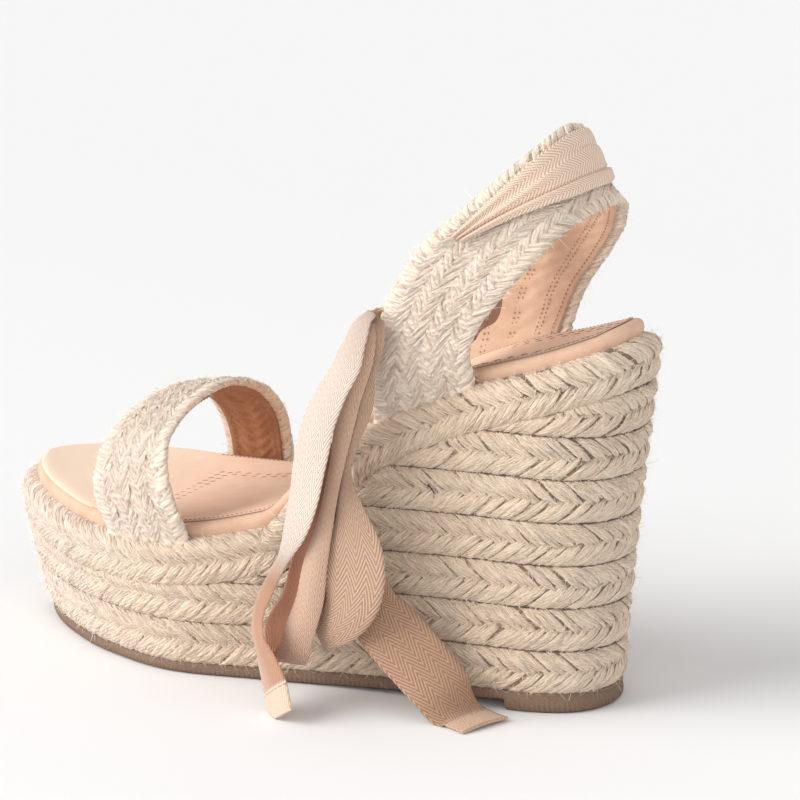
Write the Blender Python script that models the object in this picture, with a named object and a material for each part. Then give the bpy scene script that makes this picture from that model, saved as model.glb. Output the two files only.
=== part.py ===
"""Wedge espadrille sandal, left shoe: a rope-wrapped wedge, two braided straps and a tied ribbon.

Every size is in millimetres. The toe points to -X, the heel to +X, the outer side of the foot to -Y.
"""
import math

import bmesh
import bpy
import numpy as np

MM = 0.001
GAP = 0.3
CENTRE = (-0.7, 2.6, 0.0)

# Sole: tread outline, flare up to the top edge, and heights
TREAD_LENGTH = 196.0
TOE_OVERHANG = 10.5
HEEL_OVERHANG = 11.5
FOREFOOT_FLARE = 3.6
HEEL_FLARE = 2.2
TOE_BOW = 0.80
HEEL_BOW = 1.25
STATIONS = 36

# Outsole: rubber sheet, thicker under the heel, lifted at the toe and under the arch
OUTSOLE_FRONT = 3.4
OUTSOLE_HEEL = 6.0
THICKEN_START = 0.40
THICKEN_END = 0.85
OUTSOLE_INSET = 0.6
OUTSOLE_BEVEL = 0.5
TOE_SPRING = 2.4
SPRING_END = 0.10
ARCH_START = 0.50
BREAST = 0.868
BREAST_STEP = 0.001
ARCH_RISE = 3.0
ARCH_POWER = 1.4

# Rope braids wound round the wedge
ROW_PITCH = 13.4
ROWS = 7
ROW_LEAST = 2.5
ROW_CLEAR = 1.4
BRAID = 6.5
GROOVE = 1.7
CREST = 0.30
TOP_BRAID = 13.6
CORE_GAP = 0.6

# Insole board with its covered edge
INSOLE = 4.6
INSOLE_INSET = 6.1
INSOLE_ROUND = 1.3

# Straps: wall, the depth tucked behind the top braid, and the places where they meet the sole
STRAP = 3.4
STRAP_INSET = 4.0
FOOT_RISES = (-5.0, -1.5, 2.0)
POCKET_DEPTH = 6.0
POCKET_INSET = 1.9
POCKET_END = 1.5
VAMP_OUTER = (-54.0, -26.0)
VAMP_INNER = (-59.0, -37.0)
BACK_OUTER = (31.5, 61.5)
BACK_INNER = (29.5, 67.5)

# Ribbon: thickness, and the gathered knot that hooks round the strap's front edge
RIBBON = 1.2
KNOT = 1.8
KNOT_WIDTH = 6.0
KNOT_PLACE = 0.156

# Tread half widths: share of the length from the toe, outer side, inner side
PLAN = np.array([
    (0.00, -1.0, 1.0),
    (0.03, 13.5, 18.0),
    (0.10, 25.5, 31.5),
    (0.20, 36.5, 38.0),
    (0.33, 42.5, 38.5),
    (0.48, 36.0, 29.0),
    (0.62, 29.5, 26.0),
    (0.76, 25.0, 25.0),
    (0.88, 22.5, 22.5),
    (0.96, 16.0, 16.0),
    (1.00, 0.0, 0.0),
])

# Top edge: share of the length from the toe, height
TOP = np.array([
    (0.00, 42.8),
    (0.10, 40.3),
    (0.20, 39.5),
    (0.33, 40.7),
    (0.48, 47.4),
    (0.55, 62.9),
    (0.62, 80.7),
    (0.76, 96.6),
    (0.88, 105.5),
    (1.00, 114.0),
])

# Vamp strap, outer side to inner side: front edge x, y, z, rear edge x, y, z
VAMP = np.array([
    (-55.5, -42.0, 48.0, -27.0, -44.5, 52.0),
    (-57.0, -42.0, 56.0, -30.0, -45.0, 62.0),
    (-57.5, -37.5, 63.5, -32.0, -41.5, 71.0),
    (-57.5, -30.0, 68.5, -32.5, -34.0, 76.0),
    (-57.5, -20.0, 71.8, -33.0, -22.0, 79.5),
    (-57.0, -7.0, 73.6, -33.0, -7.0, 80.4),
    (-57.0, 7.0, 72.6, -33.0, 7.0, 77.5),
    (-57.0, 19.0, 68.0, -33.5, 19.5, 71.0),
    (-58.0, 29.0, 60.0, -35.0, 30.5, 61.0),
    (-59.0, 35.5, 50.0, -36.8, 36.5, 50.5),
])

# Back strap from the sole to the back of the heel: front edge x, y, z, rear edge x, y, z,
# and how much further back the front edge and the rear edge of the inner side lie
BACK = np.array([
    (31.8, 29.0, 92.0, 61.8, 25.5, 106.5, -3.5, 5.6),
    (33.2, 31.3, 108.0, 65.5, 27.8, 117.0, -4.0, 5.0),
    (40.0, 31.8, 126.0, 73.5, 28.5, 128.0, -4.5, 4.0),
    (49.8, 30.5, 141.8, 81.5, 26.0, 138.0, -3.5, 2.6),
    (60.2, 27.3, 152.0, 86.5, 21.5, 145.0, -2.5, 1.0),
    (70.4, 21.0, 162.6, 89.3, 14.5, 148.8, -1.0, 0.2),
    (77.2, 12.0, 170.4, 90.3, 7.0, 150.2, 0.0, 0.0),
])
BACK_MIDDLE = (79.0, 0.0, 173.5, 90.6, 0.0, 150.5)

# Ribbon over the back strap: share along the strap, share across it, width
HEEL_BAND = np.array([
    (0.285, 0.24, 5.0),
    (0.330, 0.30, 9.0),
    (0.380, 0.36, 13.0),
    (0.440, 0.40, 16.5),
    (0.500, 0.42, 18.0),
])

# Knot round the strap's front edge: share across the strap, share of its distance from the strap
KNOT_HOOK = np.array([
    (0.14, -1.0),
    (0.02, -1.0),
    (-0.07, -0.75),
    (-0.10, 0.0),
    (-0.11, 0.75),
])

# Ribbon runs: x, y, z of the middle, turn of the width line from +X, lean of it from level, width
OUTER_RUN = np.array([
    (60.0, -23.9, 142.0, 60.0, -40.0, 5.0),
    (64.0, -22.2, 133.0, 58.0, -15.0, 7.0),
    (66.0, -21.2, 124.5, 50.0, 8.0, 8.0),
    (63.5, -21.6, 117.5, 40.0, 34.0, 8.0),
    (55.0, -23.2, 114.5, 22.0, 62.0, 8.0),
    (44.5, -26.6, 115.5, 5.0, 82.0, 8.0),
])
CROSS_RUN = np.array([
    (60.0, 23.9, 142.0, -60.0, 40.0, 5.0),
    (53.0, 17.0, 135.0, 30.0, 70.0, 13.0),
    (47.0, 0.0, 126.0, 20.0, 70.0, 16.0),
    (42.5, -15.0, 120.5, 10.0, 75.0, 13.0),
    (40.0, -25.9, 118.0, 0.0, 80.0, 9.0),
])
END_FRONT = np.array([
    (35.6, -36.6, 120.2, 0.0, 18.0, 4.5),
    (34.2, -39.2, 117.8, -5.0, 18.0, 7.0),
    (32.9, -41.6, 112.4, -8.0, 18.0, 9.0),
    (31.1, -43.4, 105.6, -12.0, 18.0, 12.0),
    (27.7, -46.4, 97.0, -16.0, 16.0, 13.0),
    (24.3, -48.8, 87.3, -20.0, 14.0, 14.5),
    (22.8, -50.4, 77.5, -22.0, 12.0, 15.5),
    (21.1, -51.2, 66.7, -24.0, 10.0, 15.5),
    (18.0, -51.8, 55.5, -28.0, 8.0, 15.0),
    (14.1, -52.4, 45.0, -36.0, 6.0, 14.0),
    (9.5, -53.2, 35.8, -44.0, 4.0, 14.0),
    (7.2, -54.0, 28.9, -46.0, 2.0, 15.0),
    (7.8, -55.4, 22.1, -44.0, 0.0, 16.0),
    (11.2, -57.2, 15.9, -36.0, 0.0, 16.0),
    (15.4, -59.4, 9.0, -32.0, 0.0, 16.0),
    (19.8, -62.2, 0.9, -32.0, 0.0, 15.0),
])
END_REAR = np.array([
    (35.0, -34.9, 113.2, 5.0, 10.0, 7.0),
    (30.5, -36.0, 95.0, 5.0, 5.0, 7.0),
    (25.0, -37.6, 75.0, 5.0, 0.0, 6.0),
    (28.0, -38.4, 56.0, 10.0, 5.0, 9.0),
    (33.6, -38.6, 42.0, 12.0, 18.0, 12.0),
    (37.6, -38.8, 29.8, 28.0, 30.0, 16.5),
    (45.1, -38.8, 22.9, 38.0, 28.0, 18.5),
    (52.7, -38.2, 15.8, 45.0, 25.0, 18.5),
    (60.0, -37.6, 8.7, 55.0, 16.0, 18.5),
    (64.6, -35.2, 1.8, 78.0, 3.0, 18.5),
    (74.9, -38.4, 0.8, 45.0, 0.0, 18.0),
])
LOOP_FRONT = np.array([
    (34.8, -38.6, 113.1, 5.0, 12.0, 7.0),
    (31.7, -42.8, 94.9, 5.0, 12.0, 7.0),
    (29.3, -47.0, 74.1, 5.0, 10.0, 4.5),
    (27.2, -49.2, 59.1, 5.0, 8.0, 5.5),
    (25.0, -51.2, 46.5, 5.0, 6.0, 7.5),
    (23.0, -51.4, 34.5, 5.0, 4.0, 8.5),
    (19.8, -51.6, 24.9, 3.0, 2.0, 9.5),
    (16.4, -49.6, 16.2, 0.0, 0.0, 9.5),
    (10.8, -45.8, 13.5, 0.0, 0.0, 9.0),
    (7.0, -44.2, 19.5, 0.0, 0.0, 8.0),
    (11.3, -43.2, 30.1, 0.0, 4.0, 7.0),
    (15.7, -42.7, 43.5, 0.0, 4.0, 7.0),
    (23.0, -42.2, 64.6, 0.0, 4.0, 7.0),
    (26.5, -41.4, 79.4, 0.0, 4.0, 6.0),
])
LOOP_REAR = np.array([
    (36.8, -36.7, 114.6, 5.0, 10.0, 7.0),
    (33.8, -38.8, 103.1, 8.0, 8.0, 8.0),
    (34.2, -40.6, 93.0, 10.0, 8.0, 7.5),
    (31.9, -42.4, 83.2, 10.0, 8.0, 5.5),
    (30.3, -44.0, 73.5, 10.0, 6.0, 4.5),
    (32.1, -45.4, 67.0, 10.0, 4.0, 6.5),
    (34.3, -46.4, 60.4, 8.0, 2.0, 10.5),
    (35.7, -47.2, 53.6, 8.0, -2.0, 16.0),
    (36.5, -47.8, 44.9, 8.0, -6.0, 18.5),
    (35.8, -47.9, 37.1, 8.0, -24.0, 17.5),
    (32.6, -47.6, 29.8, 8.0, -48.0, 14.5),
    (27.5, -46.8, 24.8, 8.0, -68.0, 11.5),
    (23.4, -45.2, 23.4, 6.0, -72.0, 10.0),
    (23.0, -44.0, 28.7, 5.0, -30.0, 8.0),
    (26.7, -43.4, 44.7, 5.0, 0.0, 6.0),
])


# Curves
def hermite(knots, values, slopes, at):
    """Cubic through the values at the knots, with the slopes given there."""
    span = np.diff(knots)
    k = np.clip(np.searchsorted(knots, at, side="right") - 1, 0, len(span) - 1)
    t = np.clip((at - knots[k]) / span[k], 0.0, 1.0)
    if values.ndim > 1:
        t = t[:, None]
        span = span[:, None]
    start = values[k] * (1 + 2 * t) * (1 - t) ** 2
    end = values[k + 1] * t * t * (3 - 2 * t)
    return start + end + span[k] * t * (1 - t) * (slopes[k] * (1 - t) - slopes[k + 1] * t)


def smooth(knots, values, at):
    """Curve through a table that never overshoots its rows."""
    rise = np.diff(values) / np.diff(knots)
    low, high = rise[:-1], rise[1:]
    slopes = np.concatenate([rise[:1], np.zeros(len(low)), rise[-1:]])
    same = low * high > 0
    slopes[1:-1][same] = 2 * low[same] * high[same] / (low[same] + high[same])
    return hermite(knots, values, slopes, np.asarray(at, float))


def spline(rows, at):
    """Smooth run through table rows; at goes from 0 to 1 by the length of the first three columns."""
    steps = np.linalg.norm(np.diff(rows[:, :3], axis=0), axis=1)
    knots = np.concatenate([[0.0], np.cumsum(steps)]) / steps.sum()
    slopes = np.gradient(rows, knots, axis=0)
    return hermite(knots, rows, slopes, np.atleast_1d(np.asarray(at, float)))


# Sole surface
def share(phi):
    """Share of the length at a station angle, 0 at the toe and pi at the heel."""
    return (1 - np.cos(phi)) / 2


PLAN_ANGLES = np.arccos(1 - 2 * PLAN[:, 0])


def edge(phi, side, level):
    """Plan point of the wrapped side; level 0 is the tread and 1 the top edge, side -1 the outer side."""
    along = share(phi)
    outer = smooth(PLAN_ANGLES, PLAN[:, 1], phi)
    inner = smooth(PLAN_ANGLES, PLAN[:, 2], phi)
    flare = FOREFOOT_FLARE + (HEEL_FLARE - FOREFOOT_FLARE) * np.clip((along - 0.5) / 0.25, 0, 1)
    half = np.where(side < 0, outer, inner) + level * flare * np.abs(np.sin(phi)) ** 0.6
    length = TREAD_LENGTH + level * (TOE_OVERHANG + HEEL_OVERHANG)
    x = along * length - TREAD_LENGTH / 2 - level * TOE_OVERHANG
    return np.stack([x, side * half], axis=-1)


def outline(phi, side, level, inset=0.0):
    """Plan point moved inwards by the inset."""
    before = np.clip(phi - 1e-3, 0, math.pi)
    after = np.clip(phi + 1e-3, 0, math.pi)
    run = edge(after, side, level) - edge(before, side, level)
    run /= np.linalg.norm(run, axis=-1, keepdims=True)
    outward = np.stack([-run[..., 1] * side, run[..., 0] * side], axis=-1)
    return edge(phi, side, level) - outward * np.reshape(inset, (-1, 1))


def top_height(phi):
    return smooth(TOP[:, 0], TOP[:, 1], share(phi))


def top_slope(phi):
    along = share(phi)
    rise = smooth(TOP[:, 0], TOP[:, 1], along + 0.005) - smooth(TOP[:, 0], TOP[:, 1], along - 0.005)
    return rise / (0.01 * (TREAD_LENGTH + TOE_OVERHANG + HEEL_OVERHANG))


def toe_lift(phi):
    return TOE_SPRING * np.clip(1 - share(phi) / SPRING_END, 0, 1) ** 2


def base_height(phi):
    """Top of the outsole."""
    blend = np.clip((share(phi) - THICKEN_START) / (THICKEN_END - THICKEN_START), 0, 1)
    return OUTSOLE_FRONT + (OUTSOLE_HEEL - OUTSOLE_FRONT) * blend + toe_lift(phi)


def braid_floor(phi):
    """Lower edge of the top braid."""
    return top_height(phi) - TOP_BRAID * np.sqrt(1 + top_slope(phi) ** 2)


def side_point(phi, side, height, inset):
    """Point of the wrapped side at a height above the floor."""
    level = np.clip((height - base_height(phi)) / (top_height(phi) - base_height(phi)), 0, 1.05)
    bow = TOE_BOW + (HEEL_BOW - TOE_BOW) * share(phi)
    plan = outline(phi, side, level ** bow, inset)
    return np.column_stack([plan, np.broadcast_to(height, phi.shape)])


def angle_at(x, side, inset=STRAP_INSET):
    """Station angle where the top edge, moved inwards, passes x."""
    phi = np.linspace(0, math.pi, 2001)
    return np.interp(x, outline(phi, np.full(phi.shape, side), 1.0, inset)[:, 0], phi)


def around(angles):
    """Closed ring of stations: outer side from toe to heel, inner side back to the toe."""
    phi = np.concatenate([angles, angles[-2:0:-1]])
    side = np.where(np.arange(len(phi)) < len(angles), -1.0, 1.0)
    return phi, side


# Meshes
def material(name, colour, roughness):
    made = bpy.data.materials.new(name)
    made.use_nodes = True
    shader = made.node_tree.nodes["Principled BSDF"]
    shader.inputs["Base Color"].default_value = (*colour, 1.0)
    shader.inputs["Roughness"].default_value = roughness
    shader.inputs["Metallic"].default_value = 0.0
    made.diffuse_color = (*colour, 1.0)
    return made


def solid(name, points, faces, look):
    """Closed mesh object with its faces turned outwards."""
    mesh = bpy.data.meshes.new(name)
    mesh.from_pydata(((np.asarray(points) + CENTRE) * MM).tolist(), [], faces)
    shape = bmesh.new()
    shape.from_mesh(mesh)
    bmesh.ops.recalc_face_normals(shape, faces=shape.faces)
    shape.to_mesh(mesh)
    shape.free()
    mesh.materials.append(look)
    made = bpy.data.objects.new(name, mesh)
    bpy.context.scene.collection.objects.link(made)
    return made


def loft(name, rings, look, closed):
    """Solid through rings of equal point count, joined end to end or capped."""
    count, size = rings.shape[:2]
    faces = []
    for i in range(count if closed else count - 1):
        here, there = i * size, (i + 1) % count * size
        for j in range(size):
            k = (j + 1) % size
            faces.append((here + j, here + k, there + k, there + j))
    if not closed:
        faces.append(tuple(range(size)))
        faces.append(tuple(range((count - 1) * size, count * size)))
    return solid(name, rings.reshape(-1, 3), faces, look)


def slab(name, levels, look):
    """Solid between closed station rings, its first and last ring filled across the foot."""
    count, size = levels.shape[:2]
    heel = size // 2
    faces = []
    for i in range(count - 1):
        here, there = i * size, (i + 1) * size
        for j in range(size):
            k = (j + 1) % size
            faces.append((here + j, here + k, there + k, there + j))
    for start in (0, (count - 1) * size):
        faces.append((start, start + 1, start + size - 1))
        faces.append((start + heel, start + heel - 1, start + heel + 1))
        for j in range(1, heel - 1):
            faces.append((start + j, start + j + 1, start + size - j - 1, start + size - j))
    return solid(name, levels.reshape(-1, 3), faces, look)


# Sole pieces
def station_angles(*more):
    return np.unique(np.round(np.concatenate([np.linspace(0, math.pi, STATIONS + 1), *more]), 6))


def make_outsole(look):
    marks = np.array([BREAST - BREAST_STEP, BREAST + BREAST_STEP, ARCH_START, SPRING_END])
    phi, side = around(station_angles(np.arccos(1 - 2 * marks)))
    along = share(phi)
    arch = np.clip((along - ARCH_START) / (BREAST - ARCH_START), 0, 1) ** ARCH_POWER * (along < BREAST)
    floor = ARCH_RISE * arch + toe_lift(phi)
    base = base_height(phi)
    low = np.column_stack([outline(phi, side, 0.0, OUTSOLE_INSET + OUTSOLE_BEVEL), floor])
    mid = np.column_stack([outline(phi, side, 0.0, OUTSOLE_INSET), floor + OUTSOLE_BEVEL])
    high = np.column_stack([outline(phi, side, 0.0, OUTSOLE_INSET), base])
    return slab("outsole", np.array([low, mid, high]), look)


def make_wedge(look):
    phi, side = around(station_angles())
    low, high = base_height(phi) + GAP, top_height(phi) - CORE_GAP
    inset = BRAID + CORE_GAP
    levels = [side_point(phi, side, low + (high - low) * k / 5, inset) for k in range(6)]
    return slab("wedge", np.array(levels), look)


def braid_ring(phi, side, low, high):
    """Section of one braid at each station: flat at the back, bulging between two grooves."""
    tall = high - low
    return np.stack([
        side_point(phi, side, low, BRAID),
        side_point(phi, side, high, BRAID),
        side_point(phi, side, high, GROOVE),
        side_point(phi, side, high - CREST * tall, 0.0),
        side_point(phi, side, low + CREST * tall, 0.0),
        side_point(phi, side, low, GROOVE),
    ], axis=1)


def make_row(number, look):
    """One braid; a row that runs out under the top braid goes round the heel only."""
    fine = np.linspace(0, math.pi, 4001)
    room = braid_floor(fine) - base_height(fine) - number * ROW_PITCH
    angles = station_angles()
    closed = bool(room.min() > ROW_LEAST + ROW_CLEAR)
    if not closed:
        start = fine[np.argmax((room > ROW_LEAST + ROW_CLEAR) & (share(fine) > 0.30))]
        angles = np.concatenate([[start], angles[angles > start + 0.03]])
    phi, side = around(angles)
    if not closed:
        phi = np.concatenate([angles, angles[-2::-1]])
        side = np.where(np.arange(len(phi)) < len(angles), -1.0, 1.0)
    low = base_height(phi) + number * ROW_PITCH
    high = np.minimum(low + ROW_PITCH - GAP / 2, braid_floor(phi) - ROW_CLEAR)
    return loft(f"braid_row_{number + 1}", braid_ring(phi, side, low + GAP / 2, high), look, closed)


def pocket_angles():
    """Start and end station of each strap's pocket: side, start, end."""
    spots = ((-1.0, VAMP_OUTER), (1.0, VAMP_INNER), (-1.0, BACK_OUTER), (1.0, BACK_INNER))
    return [(s, angle_at(a - POCKET_END, s), angle_at(b + POCKET_END, s)) for s, (a, b) in spots]


def pocketed_stations():
    marks = [p for _, a, b in pocket_angles() for p in (a - 0.02, a, b, b + 0.02)]
    return around(station_angles(marks))


def make_top_braid(look):
    pockets = pocket_angles()
    phi, side = pocketed_stations()
    inside = np.full(phi.shape, BRAID - GAP)
    for s, a, b in pockets:
        inside[(side == s) & (phi > a - 1e-4) & (phi < b + 1e-4)] = POCKET_INSET
    low, high = braid_floor(phi) + GAP / 2, top_height(phi)
    deep = POCKET_DEPTH * np.sqrt(1 + top_slope(phi) ** 2)
    tall = high - low
    ring = np.stack([
        side_point(phi, side, low, BRAID),
        side_point(phi, side, high - deep, BRAID),
        side_point(phi, side, high - deep, inside),
        side_point(phi, side, high - 0.6, inside),
        side_point(phi, side, high - 0.1, 0.6 * np.minimum(inside, 4.5)),
        side_point(phi, side, high - CREST * tall, 0.0),
        side_point(phi, side, low + CREST * tall, 0.0),
        side_point(phi, side, low, GROOVE),
    ], axis=1)
    return loft("top_braid", ring, look, True)


def make_insole(look):
    phi, side = pocketed_stations()
    base = top_height(phi)
    insets = (INSOLE_INSET, INSOLE_INSET, INSOLE_INSET + INSOLE_ROUND)
    rises = (0.0, INSOLE - INSOLE_ROUND, INSOLE)
    rings = [np.column_stack([outline(phi, side, 1.0, i), base + up]) for i, up in zip(insets, rises)]
    return slab("insole", np.array(rings), look)


# Straps
def strap_foot(side, spots, rise):
    """Row of a strap where it stands on the sole's edge: front edge, rear edge, bow between them."""
    xs = np.array([spots[0], (spots[0] + spots[1]) / 2, spots[1]])
    phi = angle_at(xs, side)
    points = side_point(phi, np.full(3, side), top_height(phi) + rise, STRAP_INSET)
    bow = points[1] - (points[0] + points[2]) / 2
    return np.concatenate([points[0], points[2], bow])


def strap_rows(table, outer, inner):
    """All rows of a strap, from its tucked outer end over to its tucked inner end."""
    free = np.column_stack([table, np.zeros((len(table), 3))])
    start = [strap_foot(-1.0, outer, rise) for rise in FOOT_RISES]
    end = [strap_foot(1.0, inner, rise) for rise in FOOT_RISES[::-1]]
    return np.vstack([start, free, end])


def vamp_rows():
    return strap_rows(VAMP, VAMP_OUTER, VAMP_INNER)


def back_rows():
    edges = BACK[:, :6]
    outer = edges * (1, -1, 1, 1, -1, 1)
    inner = edges.copy()
    inner[:, (0, 3)] += BACK[:, 6:]
    return strap_rows(np.vstack([outer, BACK_MIDDLE, inner[::-1]]), BACK_OUTER, BACK_INNER)


def strap_point(rows, along, across, off=0.0):
    """Point of a strap's middle surface moved outwards; across runs from the front edge to the rear."""
    def middle(t, a):
        row = spline(rows, np.clip(t, 0, 1))
        a = np.atleast_1d(a)[:, None]
        return row[:, :3] * (1 - a) + row[:, 3:6] * a + 4 * a * (1 - a) * row[:, 6:9]

    along = np.atleast_1d(np.asarray(along, float))
    across = np.broadcast_to(np.asarray(across, float), along.shape)
    run = middle(np.minimum(along + 2e-3, 1), across) - middle(np.maximum(along - 2e-3, 0), across)
    wide = middle(along, across + 0.01) - middle(along, across - 0.01)
    normal = np.cross(run, wide)
    normal /= -np.linalg.norm(normal, axis=1, keepdims=True)
    return middle(along, across) + normal * np.reshape(off, (-1, 1))


def shell(rows, along, across, inside, outside):
    """Rings round a sheet laid over a strap, between two distances from its middle surface."""
    rings = []
    for t, shares in zip(along, across):
        ts = np.full(len(shares), t)
        outer = strap_point(rows, ts, shares, outside)
        inner = strap_point(rows, ts, shares[::-1], inside)
        rings.append(np.vstack([outer, inner]))
    return np.array(rings)


def make_strap(name, rows, sections, columns, look):
    along = np.linspace(0, 1, sections)
    across = np.tile(np.linspace(0, 1, columns), (sections, 1))
    return loft(name, shell(rows, along, across, -STRAP / 2, STRAP / 2), look, False)


# Ribbon
def make_heel_band(look):
    """Ribbon drawn round the outside of the back strap."""
    rows = back_rows()
    table = np.vstack([HEEL_BAND, HEEL_BAND[-2::-1] * (-1, 1, 1) + (1, 0, 0)])
    along = np.linspace(table[0, 0], table[-1, 0], 25)
    middle = smooth(table[:, 0], table[:, 1], along)
    width = smooth(table[:, 0], table[:, 2], along)
    reach = np.linalg.norm(strap_point(rows, along, 1.0) - strap_point(rows, along, 0.0), axis=1)
    across = middle[:, None] + np.linspace(-0.5, 0.5, 5) * (width / reach)[:, None]
    near = STRAP / 2 + GAP
    return loft("ribbon_heel_band", shell(rows, along, across, near, near + RIBBON), look, False)


def ribbon(name, table, sections, look, thick=RIBBON):
    """Flat ribbon along a table of middles, with its width line turned and leaned at each row."""
    at = np.linspace(0, 1, sections)
    row = spline(table, at)
    middle = row[:, :3]
    run = np.gradient(middle, axis=0)
    run /= np.linalg.norm(run, axis=1, keepdims=True)
    turn, lean = np.radians(row[:, 3]), np.radians(row[:, 4])
    wide = np.column_stack([np.cos(turn) * np.cos(lean), np.sin(turn) * np.cos(lean), np.sin(lean)])
    wide -= run * (wide * run).sum(axis=1, keepdims=True)
    wide *= row[:, 5:6] / 2 / np.linalg.norm(wide, axis=1, keepdims=True)
    face = np.cross(run, wide)
    face *= thick / 2 / np.linalg.norm(face, axis=1, keepdims=True)
    corners = [-wide - face, wide - face, wide + face, face - wide]
    rings = np.stack([middle + corner for corner in corners], axis=1)
    rings[..., 2] = np.maximum(rings[..., 2], 0.05)
    return loft(name, rings, look, False)


def make_knot(look):
    """Gathered ribbon that hooks round the front edge of the back strap on the outer side."""
    rows = back_rows()
    clear = STRAP / 2 + CORE_GAP + KNOT / 2
    middle = np.vstack([strap_point(rows, KNOT_PLACE, a, off * clear) for a, off in KNOT_HOOK])
    upright = np.tile((0.0, 90.0, KNOT_WIDTH), (len(middle), 1))
    return ribbon("bow_knot", np.column_stack([middle, upright]), 17, look, KNOT)


def main():
    for old in list(bpy.data.objects):
        bpy.data.objects.remove(old, do_unlink=True)
    rope = material("rope", (0.62, 0.49, 0.34), 0.9)
    strap = material("strap_braid", (0.70, 0.60, 0.45), 0.9)
    suede = material("suede", (0.66, 0.41, 0.28), 0.85)
    rubber = material("rubber", (0.16, 0.11, 0.08), 0.6)
    core = material("core", (0.55, 0.45, 0.33), 0.9)
    tape = material("tape", (0.68, 0.42, 0.29), 0.9)
    make_outsole(rubber)
    make_wedge(core)
    for number in range(ROWS):
        make_row(number, rope)
    make_top_braid(rope)
    make_insole(suede)
    make_strap("vamp_strap", vamp_rows(), 27, 6, strap)
    make_strap("back_strap", back_rows(), 43, 6, strap)
    make_heel_band(tape)
    make_knot(tape)
    ribbon("ribbon_outer_run", OUTER_RUN, 17, tape)
    ribbon("ribbon_cross_run", CROSS_RUN, 15, tape)
    ribbon("bow_end_front", END_FRONT, 25, tape)
    ribbon("bow_end_rear", END_REAR, 23, tape)
    ribbon("bow_loop_front", LOOP_FRONT, 27, tape)
    ribbon("bow_loop_rear", LOOP_REAR, 25, tape)


main()
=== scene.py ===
"""Looks of the wedge espadrille: rope, straps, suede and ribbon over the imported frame, in millimetres."""

import math
from collections import namedtuple

import bpy
import numpy as np
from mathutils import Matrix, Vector


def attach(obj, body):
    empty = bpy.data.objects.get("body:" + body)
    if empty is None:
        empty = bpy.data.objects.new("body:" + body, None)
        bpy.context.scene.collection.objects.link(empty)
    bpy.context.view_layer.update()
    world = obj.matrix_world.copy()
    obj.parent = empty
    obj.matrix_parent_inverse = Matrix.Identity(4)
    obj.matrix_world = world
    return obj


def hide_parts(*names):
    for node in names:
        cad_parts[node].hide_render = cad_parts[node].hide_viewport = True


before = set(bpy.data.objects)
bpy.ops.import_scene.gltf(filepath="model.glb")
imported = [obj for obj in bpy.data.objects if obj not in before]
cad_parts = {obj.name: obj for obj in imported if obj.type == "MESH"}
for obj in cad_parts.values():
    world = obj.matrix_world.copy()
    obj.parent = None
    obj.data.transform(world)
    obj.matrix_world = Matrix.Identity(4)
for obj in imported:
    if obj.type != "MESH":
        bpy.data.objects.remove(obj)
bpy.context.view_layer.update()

MM = 0.001
CENTRE = np.array((-0.7, 2.6, 0.0))
UP = np.array((0.0, 0.0, 1.0))
ROUND = 2 * math.pi

# Camera of the photograph
AZIMUTH = math.radians(30.821)
ELEVATION = math.radians(17.305)
DISTANCE = 2056.58
FOCAL = 6850.5
AIM = (0.0, 0.0, 60.0)
AIM_OFF = (-68.32, 60.04)
IMAGE = 800
SENSOR = 36.0
FLOOR_HALF = 8.0

# Lamps: where the light comes from, strength, spread
KEY = ((-1.15, -1.08, 0.88), 2.95, 50)
FILL = ((1.2, -1.0, 0.6), 0.55, 90)

# Sole
TREAD_LENGTH = 196.0
TOE_OVERHANG = 10.5
HEEL_OVERHANG = 11.5
TOP_LENGTH = TREAD_LENGTH + TOE_OVERHANG + HEEL_OVERHANG
FOREFOOT_FLARE = 3.6
HEEL_FLARE = 2.2
FLARE_START = 0.5
FLARE_RUN = 0.25
FLARE_POWER = 0.6
TOE_BOW = 0.80
HEEL_BOW = 1.25
OUTSOLE_FRONT = 3.4
OUTSOLE_HEEL = 6.0
THICKEN_START = 0.40
THICKEN_END = 0.85
OUTSOLE_INSET = 0.6
OUTSOLE_LAP = 0.2
TOE_SPRING = 2.4
SPRING_END = 0.10
ARCH_START = 0.50
BREAST = 0.868
ARCH_RISE = 3.0
ARCH_POWER = 1.4
RIB_PITCH = 1.5
RIB_DEPTH = 0.30
TREAD_EDGE = 1.2

# Outsole edge from the tread up: inset, share of the height, share of the ribs
OUTSOLE_EDGE = ((TREAD_EDGE, 0, 1), (0, 0.16, 1), (-0.1, 0.42, 1), (0.1, 0.5, 0), (0.05, 1, 0), (3, 1.02, 0))

# Plaits: step of a yarn, its run along the plait, its lift, how it fills its step, how it settles at the
# plait's edges, and how loose it lies. Loose fibres: how many to a millimetre, rise, length
Yarn = namedtuple("Yarn", "pitch slant lift fill settle loose")
ROPE = Yarn(2.2, 8.2, 0.62, 1.44, 0.5, 1.0)
BRAID = Yarn(1.9, -5.8, 0.60, 1.30, 0.1, 1.4)
Fuzz = namedtuple("Fuzz", "density rise size")
ROW_FUZZ = Fuzz(6.5, 0.6, 2.4)
TOP_FUZZ = Fuzz(7.0, 0.6, 2.4)
STRAP_FUZZ = Fuzz(4.2, 0.4, 1.9)
ROPE_SEED = 11
ROPE_FUZZ_SEED = 31
VAMP_SEED = 101
BACK_SEED = 201
STRAP_FUZZ_SEED = 50
PROBE = 0.5
DUCK = 0.34
YARN_ACROSS = 7
YARN_ALONG = 11
CHANCE_LIMIT = 1.7
BED_ACROSS = 13
# Painted shade on the bed under the yarns
BED_SHADE = 0.78
FIBRE_HALF = 0.06
SHORTEST = 0.6
FIBRE_SECTIONS = 5
FLOOR_GAP = 0.05

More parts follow.
